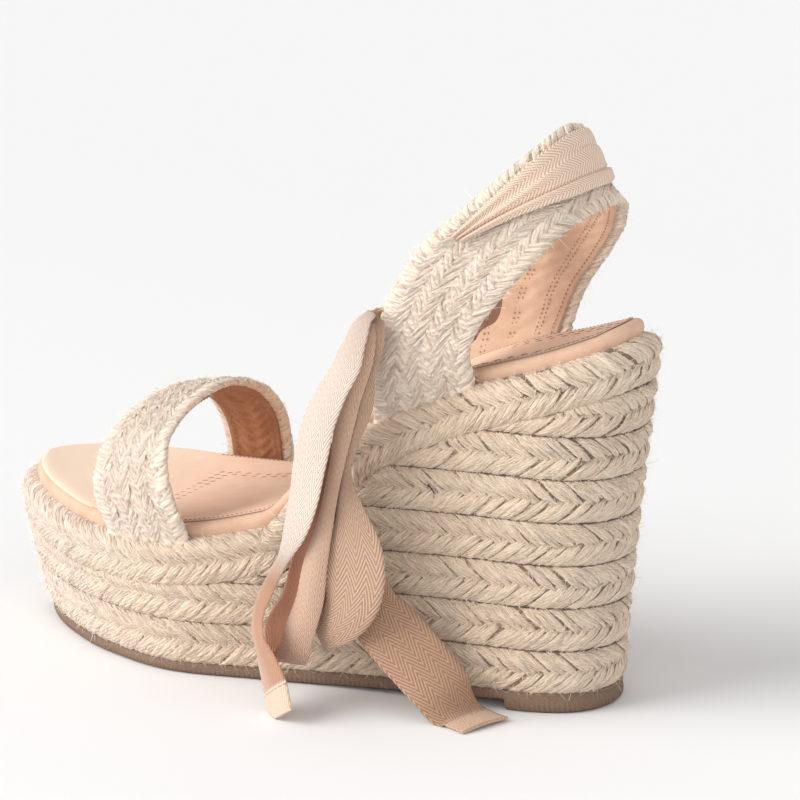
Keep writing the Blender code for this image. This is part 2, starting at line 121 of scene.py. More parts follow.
# Rope rows
ROW_PITCH = 13.4
ROWS = 7
TOP_BRAID = 13.6
ROW_DEPTH = 2.3
TOP_DEPTH = 6.2
ROW_REACH = 80
TOP_REACH = 96
VALLEY = 1.15
VALLEY_ANGLE = 0.27
TUCK = 5.5
TUCK_START = 0.6
TUCK_RUN = 4.0

# Dark end of thread on a rope row: x, z, 0
THREAD_END = np.array([(49.2, 67.8, 0), (50.2, 66.6, 0), (51.0, 65.6, 0), (51.0, 63.6, 0)])
THREAD_OFF = 0.5
THREAD_HALF = 0.26

# Insole
SOCK_INSET = 9.0
SOCK_TOE = 2.3
SOCK_RISE = 4.75
TOE_END = 0.30
TOE_RUN = 0.12
SEAT_START = 0.6
SEAT_RUN = 0.2
DISH = 0.5
SEAT_DISH = 0.7
DISH_REACH = 18
PRESSED_X = -47.5
PRESSED_Y = 16.6
PRESSED_END = 40.0
PRESSED_STEP = (3.6, 3.3)
PRESSED_APART = 1.3
PRESSED_DASH = (1.1, 0.5)
PRESSED_LIFT = 0.03
STITCH_LIFT = 0.02
# Painted shadow along the sock's rim: its reach, the x where it starts, and how far it fades in
RIM_SHADE_RUN = 0.30
RIM_SHADE_START = -62
RIM_SHADE_FADE = 10
PRESSED_AHEAD = (0.8, 0.6, 0.0)

# Covered edge of the insole: inset, height over the top edge
RAND = ((6.6, -2), (6, 0.3), (5.75, 1.6), (5.9, 2.8), (6.5, 3.7), (7.5, 4.2), (8.6, 4.2), (9.8, 3))

# Lines on the sock, stitches first: inset from its edge, step, half length, half width, x where it starts
SOCK_LINES = ((0.9, 1.5, 0.5, 0.26, -58), (4.2, 4.2, 1.6, 0.36, 55), (6.6, 4.8, 1.5, 0.32, 55))

# Straps
STRAP = 3.4
STRAP_INSET = 4.0
FOOT_RISES = (-5.0, -1.5, 2.0)
VAMP_OUTER = (-54.0, -26.0)
VAMP_INNER = (-59.0, -37.0)
BACK_OUTER = (31.5, 61.5)
BACK_INNER = (29.5, 67.5)
STRAP_PLAITS = 4
PLAIT_THICK = 0.10
PLAIT_REACH = 78
EDGE_THICK = 1.1
EDGE_OVER = 0.5
EDGE_REACH = 178
FUZZ_REACH = 120
LINING_BACK = 2.4
LINING_PUFF = 0.40
LINING_RIPPLE = 0.32
HOLE_APART = 0.85
HOLE_MARGIN = 3
HOLE = (0.36, 0.24)
VAMP_HOLES = 3.2
BACK_HOLES = 1.6
STITCH = (0.48, 0.24)
MARK_OFF = 0.32
DOT_AROUND = 8
DOT_SINK = 0.05
DOT_RISE = 0.10
THREAD_IN = 1.8
THREAD_STEP = 1.7
THREAD_MARGIN = 2

# Edge of a lining: share across it, height, both for its first two points
LINING_EDGE = ((0, 0.004), (-0.5, -1.45))

# Ribbon
TAPE_WIDTH = 19.0
TAPE = 0.6
TAPE_ACROSS = 17
TAPE_FLOOR = 0.02
TAPE_WAVE = 0.35
WAVE_FADE = 14.0
WAVE_RUNS = (7.5, 4.1)
FAR = 100.0
HEM = 9.0
HEM_THICK = 0.55
PATH_SHIFT = 0.16
BAND_GAP = 1.0
BAND_HALF = 0.35
BAND_ACROSS = 65
KNOT = 1.8
KNOT_WIDTH = 8.6
KNOT_DROP = 2.2
KNOT_PLACE = 0.156

# Tread half widths: share of the length from the toe, outer side, inner side
PLAN = np.array([
    (0.00, -1, 1), (0.03, 13.5, 18), (0.10, 25.5, 31.5), (0.20, 36.5, 38), (0.33, 42.5, 38.5), (0.48, 36, 29),
    (0.62, 29.5, 26), (0.76, 25, 25), (0.88, 22.5, 22.5), (0.96, 16, 16), (1.00, 0, 0),
])

# Top edge: share of the length from the toe, height
TOP = np.array([
    (0.00, 42.8), (0.10, 40.3), (0.20, 39.5), (0.33, 40.7), (0.48, 47.4),
    (0.55, 62.9), (0.62, 80.7), (0.76, 96.6), (0.88, 105.5), (1.00, 114.0),
])

# Vamp strap, outer side to inner side: front edge x, y, z, rear edge x, y, z
VAMP = np.array([
    (-55.5, -42, 48, -27, -44.5, 52), (-57, -42, 56, -30, -45, 62),
    (-57.5, -37.5, 63.5, -32, -41.5, 71), (-57.5, -30, 68.5, -32.5, -34, 76),
    (-57.5, -20, 71.8, -33, -22, 79.5), (-57, -7, 73.6, -33, -7, 80.4),
    (-57, 7, 72.6, -33, 7, 77.5), (-57, 19, 68, -33.5, 19.5, 71),
    (-58, 29, 60, -35, 30.5, 61), (-59, 35.5, 50, -36.8, 36.5, 50.5),
])

# Back strap from the sole to the back of the heel: front edge x, y, z, rear edge x, y, z,
# and how much further back the front edge and the rear edge of the inner side lie
BACK = np.array([
    (31.8, 29, 92, 61.8, 25.5, 106.5, -3.5, 5.6),
    (33.2, 31.3, 108, 65.5, 27.8, 117, -4, 5),
    (40, 31.8, 126, 73.5, 28.5, 128, -4.5, 4),
    (49.8, 30.5, 141.8, 81.5, 26, 138, -3.5, 2.6),
    (60.2, 27.3, 152, 86.5, 21.5, 145, -2.5, 1),
    (70.4, 21, 162.6, 89.3, 14.5, 148.8, -1, 0.2),
    (77.2, 12, 170.4, 90.3, 7, 150.2, 0, 0),
])
BACK_MIDDLE = (79, 0, 173.5, 90.6, 0, 150.5)

# Ribbon over the back strap: share along the strap, share across it, width
HEEL_BAND = np.array([
    (0.285, 0.24, 5), (0.33, 0.30, 9), (0.38, 0.36, 13), (0.44, 0.40, 16.5), (0.50, 0.42, 18),
])

# Knot round the strap's front edge: share across the strap, share of its distance from the strap
KNOT_HOOK = np.array([(0.14, -1), (0.02, -1), (-0.07, -0.75), (-0.10, 0), (-0.11, 0.75)])

# Ribbon runs: x, y, z of the middle, turn of the width line from +X, lean of it from level, width
OUTER_RUN = np.array([
    (60, -23.9, 142, 60, -40, 5), (64, -22.2, 133, 58, -15, 7),
    (66, -21.2, 124.5, 50, 8, 8), (63.5, -21.6, 117.5, 40, 34, 8),
    (55, -23.2, 114.5, 22, 62, 8), (44.5, -26.6, 115.5, 5, 82, 8),
])
CROSS_RUN = np.array([
    (60, 23.9, 142, -60, 40, 5), (53, 17, 135, 30, 70, 13), (47, 0, 126, 20, 70, 16),
    (42.5, -15, 120.5, 10, 75, 13), (40, -25.9, 118, 0, 80, 9),
])
END_FRONT = np.array([
    (35.6, -36.6, 120.2, 0, 18, 4.5), (34.2, -39.2, 117.8, -5, 18, 7),
    (32.9, -41.6, 112.4, -8, 18, 9), (31.1, -43.4, 105.6, -12, 18, 12),
    (27.7, -46.4, 97, -16, 16, 13), (24.3, -48.8, 87.3, -20, 14, 14.5),
    (22.8, -50.4, 77.5, -22, 12, 15.5), (21.1, -51.2, 66.7, -24, 10, 15.5),
    (18, -51.8, 55.5, -28, 8, 12.5), (14.1, -52.4, 45, -36, 6, 5.5),
    (9.5, -53.2, 35.8, -44, 4, 9.5), (7.2, -54, 28.9, -46, 2, 12),
    (7.8, -55.4, 22.1, -44, 0, 16), (11.2, -57.2, 15.9, -36, 0, 16),
    (15.4, -59.4, 9, -32, 0, 16), (19.8, -62.2, 0.9, -32, 0, 15),
])
END_REAR = np.array([
    (35, -34.9, 113.2, 5, 10, 7), (30.5, -36, 95, 5, 5, 7),
    (25, -37.6, 75, 5, 0, 6), (28, -38.4, 56, 10, 5, 9),
    (33.6, -38.6, 42, 12, 18, 12), (37.6, -38.8, 29.8, 28, 30, 16.5),
    (45.1, -38.8, 22.9, 38, 28, 18.5), (52.7, -38.2, 15.8, 45, 25, 18.5),
    (60, -37.6, 8.7, 55, 16, 18.5), (64.6, -35.2, 1.8, 78, 3, 18.5),
    (74.9, -38.4, 0.8, 45, 0, 18),
])
LOOP_FRONT = np.array([
    (35.3, -36.6, 117.2, 5, 12, 3.5), (34.8, -38.6, 113.1, 5, 12, 7),
    (31.7, -42.8, 94.9, 5, 12, 7), (29.3, -47, 74.1, 5, 10, 4.5),
    (27.2, -49.2, 59.1, 5, 8, 5.5), (25, -51.2, 46.5, 5, 6, 7.5),
    (23, -51.4, 34.5, 5, 4, 8.5), (19.8, -51.6, 24.9, 3, 2, 9.5),
    (16.4, -49.6, 16.2, 0, 0, 9.5), (10.8, -45.8, 13.5, 0, 0, 9),
    (7, -44.2, 19.5, 0, 0, 8), (11.3, -43.2, 30.1, 0, 4, 7),
    (15.7, -42.7, 43.5, 0, 4, 7), (23, -42.2, 64.6, 0, 4, 7),
    (26.5, -41.4, 79.4, 0, 4, 6),
])
LOOP_REAR = np.array([
    (37.4, -35.2, 118.4, 5, 10, 3), (36.8, -36.7, 114.6, 5, 10, 7),
    (33.8, -38.8, 103.1, 8, 8, 8), (34.2, -40.6, 93, 10, 8, 7.5),
    (31.9, -42.4, 83.2, 10, 8, 5.5), (30.3, -44, 73.5, 10, 6, 4.5),
    (32.1, -45.4, 67, 10, 4, 6.5), (34.3, -46.4, 60.4, 8, 2, 10.5),
    (35.7, -47.2, 53.6, 8, -2, 16), (36.5, -47.8, 44.9, 8, -6, 18.5),
    (35.8, -47.9, 37.1, 8, -24, 17.5), (32.6, -47.6, 29.8, 8, -48, 14.5),
    (27.5, -46.8, 24.8, 8, -68, 11.5), (23.4, -45.2, 23.4, 6, -72, 10),
    (23, -44, 28.7, 5, -30, 8), (26.7, -43.4, 44.7, 5, 0, 6),
])


# Curves
def hermite(knots, values, slopes, at):
    span = np.diff(knots)
    k = np.clip(np.searchsorted(knots, at, side="right") - 1, 0, len(span) - 1)
    t = np.clip((at - knots[k]) / span[k], 0.0, 1.0)
    if values.ndim > 1:
        t = t[:, None]
        span = span[:, None]
    start = values[k] * (1 + 2 * t) * (1 - t) ** 2
    end = values[k + 1] * t * t * (3 - 2 * t)
    return start + end + span[k] * t * (1 - t) * (slopes[k] * (1 - t) - slopes[k + 1] * t)


def smooth(knots, values, at):
    rise = np.diff(values) / np.diff(knots)
    low, high = rise[:-1], rise[1:]
    slopes = np.concatenate([rise[:1], np.zeros(len(low)), rise[-1:]])
    same = low * high > 0
    slopes[1:-1][same] = 2 * low[same] * high[same] / (low[same] + high[same])
    return hermite(knots, values, slopes, np.asarray(at, float))


def spline(rows, at):
    steps = np.linalg.norm(np.diff(rows[:, :3], axis=0), axis=1)
    knots = np.concatenate([[0.0], np.cumsum(steps)]) / steps.sum()
    slopes = np.gradient(rows, knots, axis=0)
    return hermite(knots, rows, slopes, np.atleast_1d(np.asarray(at, float)))


def ease(t):
    t = np.clip(t, 0, 1)
    return t * t * (3 - 2 * t)


def unit(vectors):
    return vectors / np.maximum(np.linalg.norm(vectors, axis=-1, keepdims=True), 1e-9)


def run_length(points):
    return np.concatenate([[0.0], np.cumsum(np.linalg.norm(np.diff(points, axis=0), axis=1))])


# Sole surface, as the frame has it
def share(phi):
    return (1 - np.cos(phi)) / 2


PLAN_ANGLES = np.arccos(1 - 2 * PLAN[:, 0])
FINE = np.linspace(0, math.pi, 2001)


def edge(phi, side, level):
    along = share(phi)
    outer, inner = (smooth(PLAN_ANGLES, PLAN[:, k], phi) for k in (1, 2))
    back = np.clip((along - FLARE_START) / FLARE_RUN, 0, 1)
    flare = FOREFOOT_FLARE + (HEEL_FLARE - FOREFOOT_FLARE) * back
    half = np.where(side < 0, outer, inner) + level * flare * np.abs(np.sin(phi)) ** FLARE_POWER
    length = TREAD_LENGTH + level * (TOE_OVERHANG + HEEL_OVERHANG)
    x = along * length - TREAD_LENGTH / 2 - level * TOE_OVERHANG
    return np.stack([x, side * half], axis=-1)


def outline(phi, side, level, inset):
    step = 1e-3
    before, after = (edge(np.clip(phi + d, 0, math.pi), side, level) for d in (-step, step))
    run = unit(after - before)
    outward = np.stack([-run[..., 1] * side, run[..., 0] * side], axis=-1)
    return edge(phi, side, level) - outward * np.reshape(inset, (-1, 1))


def top_at(along):
    return smooth(TOP[:, 0], TOP[:, 1], along)


def top_height(phi):
    return top_at(share(phi))


def top_slope(phi):
    along = share(phi)
    step = 0.005
    return (top_at(along + step) - top_at(along - step)) / (2 * step * TOP_LENGTH)


def toe_lift(phi):
    return TOE_SPRING * np.clip(1 - share(phi) / SPRING_END, 0, 1) ** 2


def base_height(phi):
    thick = np.clip((share(phi) - THICKEN_START) / (THICKEN_END - THICKEN_START), 0, 1)
    return OUTSOLE_FRONT + (OUTSOLE_HEEL - OUTSOLE_FRONT) * thick + toe_lift(phi)


def tread_height(phi):
    along = share(phi)
    arch = np.clip((along - ARCH_START) / (BREAST - ARCH_START), 0, 1) ** ARCH_POWER * (along < BREAST)
    return ARCH_RISE * arch + toe_lift(phi)


def braid_floor(phi):
    return top_height(phi) - TOP_BRAID * np.sqrt(1 + top_slope(phi) ** 2)


def side_point(phi, side, height, inset):
    level = np.clip((height - base_height(phi)) / (top_height(phi) - base_height(phi)), 0, 1.05)
    bow = TOE_BOW + (HEEL_BOW - TOE_BOW) * share(phi)
    plan = outline(phi, side, level ** bow, inset)
    return np.column_stack([plan, np.broadcast_to(height, phi.shape)])


def station(turn):
    """Station angle and side of a turn round the sole: 0 at the toe, pi at the heel by the outer side."""
    turn = np.mod(turn, ROUND)
    return np.where(turn < math.pi, turn, ROUND - turn), np.where(turn < math.pi, -1.0, 1.0)


# Strap surface, as the frame has it
def strap_foot(side, spots, rise):
    xs = np.array([spots[0], (spots[0] + spots[1]) / 2, spots[1]])
    phi = np.interp(xs, outline(FINE, side, 1.0, STRAP_INSET)[:, 0], FINE)
    points = side_point(phi, side, top_height(phi) + rise, STRAP_INSET)
    bow = points[1] - (points[0] + points[2]) / 2
    return np.concatenate([points[0], points[2], bow])


def strap_rows(table, outer, inner):
    free = np.column_stack([table, np.zeros((len(table), 3))])
    start = [strap_foot(-1.0, outer, rise) for rise in FOOT_RISES]
    end = [strap_foot(1.0, inner, rise) for rise in FOOT_RISES[::-1]]
    return np.vstack([start, free, end])


def strap_point(rows, along, across, off=0.0):
    def middle(t, a):
        row = spline(rows, np.clip(t, 0, 1))
        a = np.atleast_1d(a)[:, None]
        return row[:, :3] * (1 - a) + row[:, 3:6] * a + 4 * a * (1 - a) * row[:, 6:9]

    along = np.atleast_1d(np.asarray(along, float))
    across = np.broadcast_to(np.asarray(across, float), along.shape)
    run = middle(np.minimum(along + 2e-3, 1), across) - middle(np.maximum(along - 2e-3, 0), across)
    wide = middle(along, across + 0.01) - middle(along, across - 0.01)
    normal = -unit(np.cross(run, wide))
    return middle(along, across) + normal * np.reshape(off, (-1, 1))


def strap_width(rows, along):
    return np.linalg.norm(strap_point(rows, along, 1.0) - strap_point(rows, along, 0.0), axis=1)


VAMP_ROWS = strap_rows(VAMP, VAMP_OUTER, VAMP_INNER)
BACK_EDGES = np.vstack([
    BACK[:, :6] * (1, -1, 1, 1, -1, 1),
    BACK_MIDDLE,
    (BACK[:, :6] + BACK[:, 6:] @ ((1, 0, 0, 0, 0, 0), (0, 0, 0, 1, 0, 0)))[::-1],
])
BACK_ROWS = strap_rows(BACK_EDGES, BACK_OUTER, BACK_INNER)


# Meshes
def grid_faces(rows, columns, closed=False):
    i = np.arange(rows if closed else rows - 1)[:, None]
    j = np.arange(columns - 1)[None, :]
    here = i * columns + j
    there = (i + 1) % rows * columns + j
    return np.stack([here, here + 1, there + 1, there], axis=-1).reshape(-1, 4)


def copies(sheet, count, size):
    """Faces of equal sheets, each with its own points."""
    return (sheet[None] + (np.arange(count) * size)[:, None, None]).reshape(-1, 4)


def turned(points, faces, outward):
    """Faces turned so that they look along the outward vectors of their first corners."""
    a, b, c = (points[faces[:, k]] for k in (0, 1, 2))
    outward = np.broadcast_to(outward, points.shape)
    looks = (np.cross(b - a, c - a) * outward[faces[:, 0]]).sum()
    return faces if looks > 0 else faces[:, ::-1]


def skin(grid, outward, closed=False, **marks):
    """Points, faces and marks of a grid of points whose faces look outward."""
    points = grid.reshape(-1, 3)
    faces = turned(points, grid_faces(*grid.shape[:2], closed), np.reshape(outward, (-1, 3)))
    return points, faces, marks


def join(parts):
    """One set of points, faces and marks from several."""
    start = np.cumsum([0] + [len(p) for p, _, _ in parts[:-1]])
    points = np.concatenate([p for p, _, _ in parts])
    faces = np.concatenate([f + s for (_, f, _), s in zip(parts, start)])
    marks = {key: np.concatenate([m[key] for _, _, m in parts]) for key in parts[0][2]}
    return points, faces, marks


def show(name, data):
    made = bpy.data.objects.new(name, data)
    bpy.context.scene.collection.objects.link(made)
    return made


def piece(name, shape, look, nodes=()):
    points, faces, marks = shape
    mesh = bpy.data.meshes.new(name)
    mesh.from_pydata(((points + CENTRE) * MM).tolist(), [], faces.tolist(), shade_flat=False)
    mesh.validate()
    for key, values in marks.items():
        vector = values.ndim > 1
        layer = mesh.attributes.new(key, "FLOAT_VECTOR" if vector else "FLOAT", "POINT")
        layer.data.foreach_set("vector" if vector else "value", values.astype(np.float32).ravel())
    mesh.materials.append(look)
    made = show(name, mesh)
    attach(made, "root")
    if nodes:
        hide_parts(*nodes)
    return made


# Plaits
def strand_marks(count, across, along, deep, upper, rng):
    shape = deep.shape
    seed = np.broadcast_to(rng.uniform(0, 90, count)[:, None, None], shape)
    fibre = np.stack([np.broadcast_to(across, shape), np.broadcast_to(along, shape), seed], axis=-1)
    # Painted shade: the upper set of yarns is darker, added to a random shift per yarn
    tone = np.broadcast_to((0.42 * upper + rng.uniform(0, 0.60, count))[:, None, None], shape)
    return {"fibre": fibre.reshape(-1, 3), "tone": tone.ravel(), "deep": deep.ravel()}


def plait(place, length, yarn, half, reach, groove, seed):
    """Two facing sets of paired yarns over a bed; reach is the section angle of the lower and upper edge,
    and groove how much painted shade darkens the yarns there."""
    rng = np.random.default_rng(seed)
    count = 2 * max(1, round(length / yarn.pitch / 2))
    step = length / count
    x = -np.cos(np.pi * np.arange(YARN_ACROSS) / (YARN_ACROSS - 1))[None, None, :]
    w = np.linspace(-DUCK, 1, YARN_ALONG)[None, :, None]
    mate = np.where(np.arange(count) % 2, -1.0, 1.0)[:, None, None]
    apart = x * mate < 0
    limits = (-CHANCE_LIMIT, CHANCE_LIMIT)
    parts = []
    for sign, limit, shade in ((-1, reach[0], groove[0]), (1, reach[1], groove[1])):
        chance = yarn.loose * rng.normal(size=(7, count)).clip(*limits)[:, :, None, None]
        pair = yarn.loose * np.repeat(rng.normal(size=count // 2).clip(*limits), 2)[:, None, None]
        shift = 0.09 * chance[0] + 0.14 * pair + 0.10 * mate
        centre = (np.arange(count)[:, None, None] + (sign > 0) + 0.5 + shift) * step
        tall = yarn.lift * (1 + 0.22 * chance[1])
        hole = 1 - 0.34 * apart * (1 - ease((w + 0.04) / 0.26))
        taper = 0.80 + 0.20 * ease((w + DUCK) / 0.4)
        wide = 0.5 * step * (yarn.fill + 0.14 * chance[2]) * taper * hole
        bend = 0.35 * yarn.pitch * chance[4] * np.sin(math.pi * np.clip(w, 0, 1)) ** 2
        s = centre + wide * x - yarn.slant * (1 + 0.06 * chance[3]) * w + 0.5 * bend
        crown = (1 - np.abs(x) ** 2.6) ** 0.7
        body = crown * ease((w + DUCK) / 0.55)
        theta = sign * math.radians(limit) * w + 0 * s
        round_off = 1 - yarn.settle * ease((np.abs(theta) - 0.8) / 0.7)
        rise = tall * body * round_off - 0.12 * yarn.lift + 0.10 * yarn.lift * chance[5]
        # Painted shade: line darkens yarn edges where yarns meet, more where they part; root where a yarn
        # ducks under the other set; far the groove at the plait's edges
        fade = (0.86 + 0.25 * chance[6]) * (1 - 0.62 * ease((w - 0.05) / 0.75))
        line = ease((np.abs(x) - 0.52) / 0.28) * np.where(apart, 0.88, 0.56) * fade
        root = 1 - ease((w + DUCK) / (0.46 + 0.14 * (sign < 0) * (1 + 0.5 * chance[6])))
        far = 1.6 * shade * ease((np.abs(theta) - 1.15) / 0.24)
        deep = np.maximum(np.maximum(line, root).clip(0, 1), far)
        s, theta, rise = (a.ravel() for a in (s, theta, rise))
        points = place(s, theta, rise)
        out = place(s, theta, rise + PROBE) - points
        faces = copies(grid_faces(YARN_ALONG, YARN_ACROSS), count, YARN_ALONG * YARN_ACROSS)
        marks = strand_marks(count, wide * x, w * math.hypot(yarn.slant, half), deep, sign > 0, rng)
        parts.append((points, turned(points, faces, out), marks))
    parts.append(bed(place, length, yarn.lift, reach))
    return join(parts)


def bed(place, length, lift, reach):
    """Sheet under the yarns of a plait, darkened with painted shade where it shows between them."""
    s = np.linspace(0, length, max(8, int(length / 2)))
    theta = np.radians(np.linspace(-reach[0], reach[1], BED_ACROSS))
    s, theta = (a.ravel() for a in np.meshgrid(s, theta, indexing="ij"))
    rise = 0.10 * lift + 0 * s
    points = place(s, theta, rise)
    out = place(s, theta, rise + PROBE) - points
    fibre = np.column_stack([theta * 3, s, 0 * s])
    grid = points.reshape(-1, BED_ACROSS, 3)
    return skin(grid, out, fibre=fibre, tone=0 * s + 0.5, deep=0 * s + BED_SHADE)


def fuzz(place, length, kind, reach, seed):
    """Loose fibres standing off a plait."""
    rng = np.random.default_rng(seed)
    count = int(length * kind.density)
    s = rng.uniform(0, length, count)
    theta = np.radians(rng.uniform(-reach[0], reach[1], count))
    lift = np.full(count, kind.rise)
    root = place(s, theta, lift)
    out = unit(place(s, theta, lift + PROBE) - root)
    run = unit(place(s + 0.4, theta, lift) - root + 1e-6)
    turn = rng.uniform(0, ROUND, count)[:, None]
    ahead = np.cos(turn) * run + np.sin(turn) * np.cross(out, run)
    beside = np.cross(out, ahead)
    long = (kind.size * rng.lognormal(0, 0.5, count)).clip(SHORTEST, 3.2 * kind.size)[:, None, None]
    t = np.linspace(0, 1, FIBRE_SECTIONS)[None, :, None]
    up = (0.12 + 1.3 * rng.uniform(0, 1, count) ** 1.8)[:, None, None]
    curl = rng.normal(0, 0.5, count)[:, None, None]
    way = 0.85 * t * ahead[:, None] + up * (t - 0.75 * t * t) * out[:, None] + curl * t * t * beside[:, None]
    path = root[:, None] + long * way
    thin = FIBRE_HALF * (1 - 0.6 * t) * unit(beside)[:, None]
    points = np.stack([path - thin, path + thin], axis=2).reshape(-1, 3)
    points[:, 2] = np.maximum(points[:, 2], FLOOR_GAP)
    faces = copies(grid_faces(FIBRE_SECTIONS, 2), count, FIBRE_SECTIONS * 2)
    tone = np.repeat(rng.uniform(0, 0.8, count), FIBRE_SECTIONS * 2)
    return points, faces, {"fibre": 0 * points, "tone": tone, "deep": 0 * tone}


# Rope rows
def rope_place(middle, half, depths, start, tucked):
    """Place on a braid round the sole: run along it, angle of its section, rise off it. Also its length."""
    turn = np.linspace(start, ROUND - start, 3001)
    phi, side = station(turn)
    height = middle(phi)
    points = side_point(phi, side, height, 0.0)
    flat = run_length(points[:, :2])
    run = run_length(points)
    length = run[-1]
    slope = np.gradient(height, np.maximum.accumulate(flat + 1e-9 * np.arange(len(flat))))
    slope[:3], slope[-3:] = slope[3], slope[-4]
    tilt = np.arctan(slope)
    if start == 0:
        laps = (-1, 0, 1)
        turn = np.concatenate([turn[:-1] + ROUND * k for k in laps])
        flat, run = (np.concatenate([a[:-1] + a[-1] * k for k in laps]) for a in (flat, run))
        height, tilt = (np.tile(a[:-1], len(laps)) for a in (height, tilt))

    def place(s, theta, rise):
        here, z, lean = (np.interp(s, run, a) for a in (flat, height, tilt))
        deep = np.where(theta > 0, depths[1], depths[0])
        reach = math.radians(ROW_REACH)
        nx, nz = np.cos(theta) * half, np.sin(theta) * deep
        size = np.hypot(nx, nz)
        share_out = 0.5 * np.sin(theta) / math.sin(reach) + 0.5 * theta / reach
        across = half * np.clip(share_out, -1, 1) + rise * nz / size
        rounding = 1 - np.maximum(np.cos(theta), 0) ** 0.6 + np.maximum(-np.cos(theta), 0)
        inset = deep * rounding - rise * nx / size + VALLEY * np.exp(-(theta / VALLEY_ANGLE) ** 2)
        phi, side = station(np.interp(here - np.sin(lean) * across, flat, turn))
        z = z + np.cos(lean) * across
        if tucked:
            inset = inset + TUCK * ease((z - braid_floor(phi) + TUCK_START) / TUCK_RUN)
        return side_point(phi, side, z, inset)

    return place, length


def row_start(number):
    """Turn at which a row comes out from under the top braid, or 0 where it goes all round."""
    fine = np.linspace(0, math.pi, 4001)
    room = braid_floor(fine) - base_height(fine) - number * ROW_PITCH
    if room.min() > 4:
        return 0.0
    return float(fine[np.argmax((room > -3.0) & (share(fine) > 0.30))])


def make_ropes(look):
    half = ROW_PITCH / 2
    loose = []
    for number in range(ROWS):
        place, length = rope_place(lambda phi: base_height(phi) + (number + 0.5) * ROW_PITCH, half,
                                   (ROW_DEPTH, ROW_DEPTH), row_start(number), True)
        shape = plait(place, length, ROPE, half, (ROW_REACH, ROW_REACH), (1, 1), ROPE_SEED + number)
        piece(f"rope_row_{number + 1}", shape, look, [f"braid_row_{number + 1}"])
        reach = (ROW_REACH - 2, ROW_REACH - 2)
        loose.append(fuzz(place, length, ROW_FUZZ, reach, ROPE_FUZZ_SEED + number))
    half = TOP_BRAID / 2
    last = ROWS + 1
    place, length = rope_place(lambda phi: (braid_floor(phi) + top_height(phi)) / 2, half,
                               (ROW_DEPTH, TOP_DEPTH), 0.0, False)
    shape = plait(place, length, ROPE, half, (ROW_REACH, TOP_REACH), (1, 0), ROPE_SEED + last)
    piece("rope_top", shape, look, ["top_braid"])
    loose.append(fuzz(place, length, TOP_FUZZ, (ROW_REACH - 4, TOP_REACH - 2), ROPE_FUZZ_SEED + last))
    piece("rope_fuzz", join(loose), look)


def make_thread_end(look):
    """Short dark end of thread caught on a rope row."""
    path = []
    for x, z, _ in spline(THREAD_END, np.linspace(0, 1, 9)):
        phi = np.interp(x, side_point(FINE, -1.0, z, -THREAD_OFF)[:, 0], FINE)
        path.append(side_point(np.array([phi]), -1.0, z, -THREAD_OFF)[0])
    path = np.array(path)
    run = unit(np.gradient(path, axis=0))
    over = unit(np.cross(run, (0.0, -1.0, 0.0)))
    ring = np.linspace(0, ROUND, 7)[None, :, None]
    thin = THREAD_HALF * np.linspace(1.0, 0.5, len(path))[:, None, None]
    off = thin * (np.cos(ring) * over[:, None] + np.sin(ring) * np.cross(over, run)[:, None])
    piece("thread_end", skin(path[:, None] + off, off), look)


# Straps
def strap_place(rows, number, edges):
    """Place on one plait of a strap, rolled over at a free edge. Also its length and half width."""
    t = np.linspace(0, 1, 1201)
    centre = (number + 0.5) / STRAP_PLAITS
    wide = strap_width(rows, t)
    run = run_length(strap_point(rows, t, centre, STRAP / 2))

    def place(s, theta, rise):
        at = np.interp(s, run, t)
        width = np.interp(at, t, wide)
        half = width / STRAP_PLAITS / 2
        free = np.where(theta < 0, *edges)
        deep = np.where(free, EDGE_THICK, PLAIT_THICK)
        nx, nz = np.cos(theta) * half, np.sin(theta) * deep
        size = np.hypot(nx, nz)
        rise = rise * np.where(free, 1 - 0.55 * ease((np.abs(theta) - 1.1) / 0.5), 1.0)
        rolled = (half + EDGE_OVER) * np.sin(theta)
        across = np.where(free, rolled, half * theta / math.radians(PLAIT_REACH)) + rise * nz / size
        off = STRAP / 2 - BRAID.lift / 2 - deep * (1 - np.cos(theta)) + rise * nx / size
        return strap_point(rows, at, centre + across / width, off)

    return place, run[-1], float(np.median(wide)) / STRAP_PLAITS / 2


def make_strap(name, rows, node, look, seed):
    parts, loose = [], []
    for number in range(STRAP_PLAITS):
        edges = (number == 0, number == STRAP_PLAITS - 1)
        place, length, half = strap_place(rows, number, edges)
        reach = [EDGE_REACH if free else PLAIT_REACH for free in edges]
        near = [min(r, FUZZ_REACH) for r in reach]
        parts.append(plait(place, length, BRAID, half, reach, (0.15, 0.15), seed + number))
        loose.append(fuzz(place, length, STRAP_FUZZ, near, seed + STRAP_FUZZ_SEED + number))
    piece(name, join(parts), look, [node])
    piece(name + "_fuzz", join(loose), look)


def lining_puff(across):
    return LINING_PUFF * np.sin(across * STRAP_PLAITS * np.pi) ** 2


def lining_sheet(rows):
    """Thin lining inside a strap, held back from the edges of the plaits."""
    t = np.linspace(0.02, 0.98, 220)
    back = (LINING_BACK / strap_width(rows, t))[:, None]
    c = (1 - np.cos(np.pi * np.linspace(0, 1, 25))) / 2
    off = -STRAP / 2 - 0.15 * np.sin(np.pi * c) ** 0.3
    near, low = np.array(LINING_EDGE)
    c = np.concatenate([near, c[1:-1], 1 - near[::-1]])
    off = np.concatenate([low, off[1:-1], low[::-1]])
    across = back + (1 - 2 * back) * c
    ripple = LINING_RIPPLE * np.sin(t[:, None] * 190 + 5 * np.sin(across * 9))
    heights = (off - (lining_puff(across) + ripple) * np.sin(np.pi * c)).ravel()
    spots = (np.repeat(t, len(c)), across.ravel())
    points = strap_point(rows, *spots, heights)
    out = strap_point(rows, *spots, heights - PROBE) - points
    return skin(points.reshape(-1, len(c), 3), out)


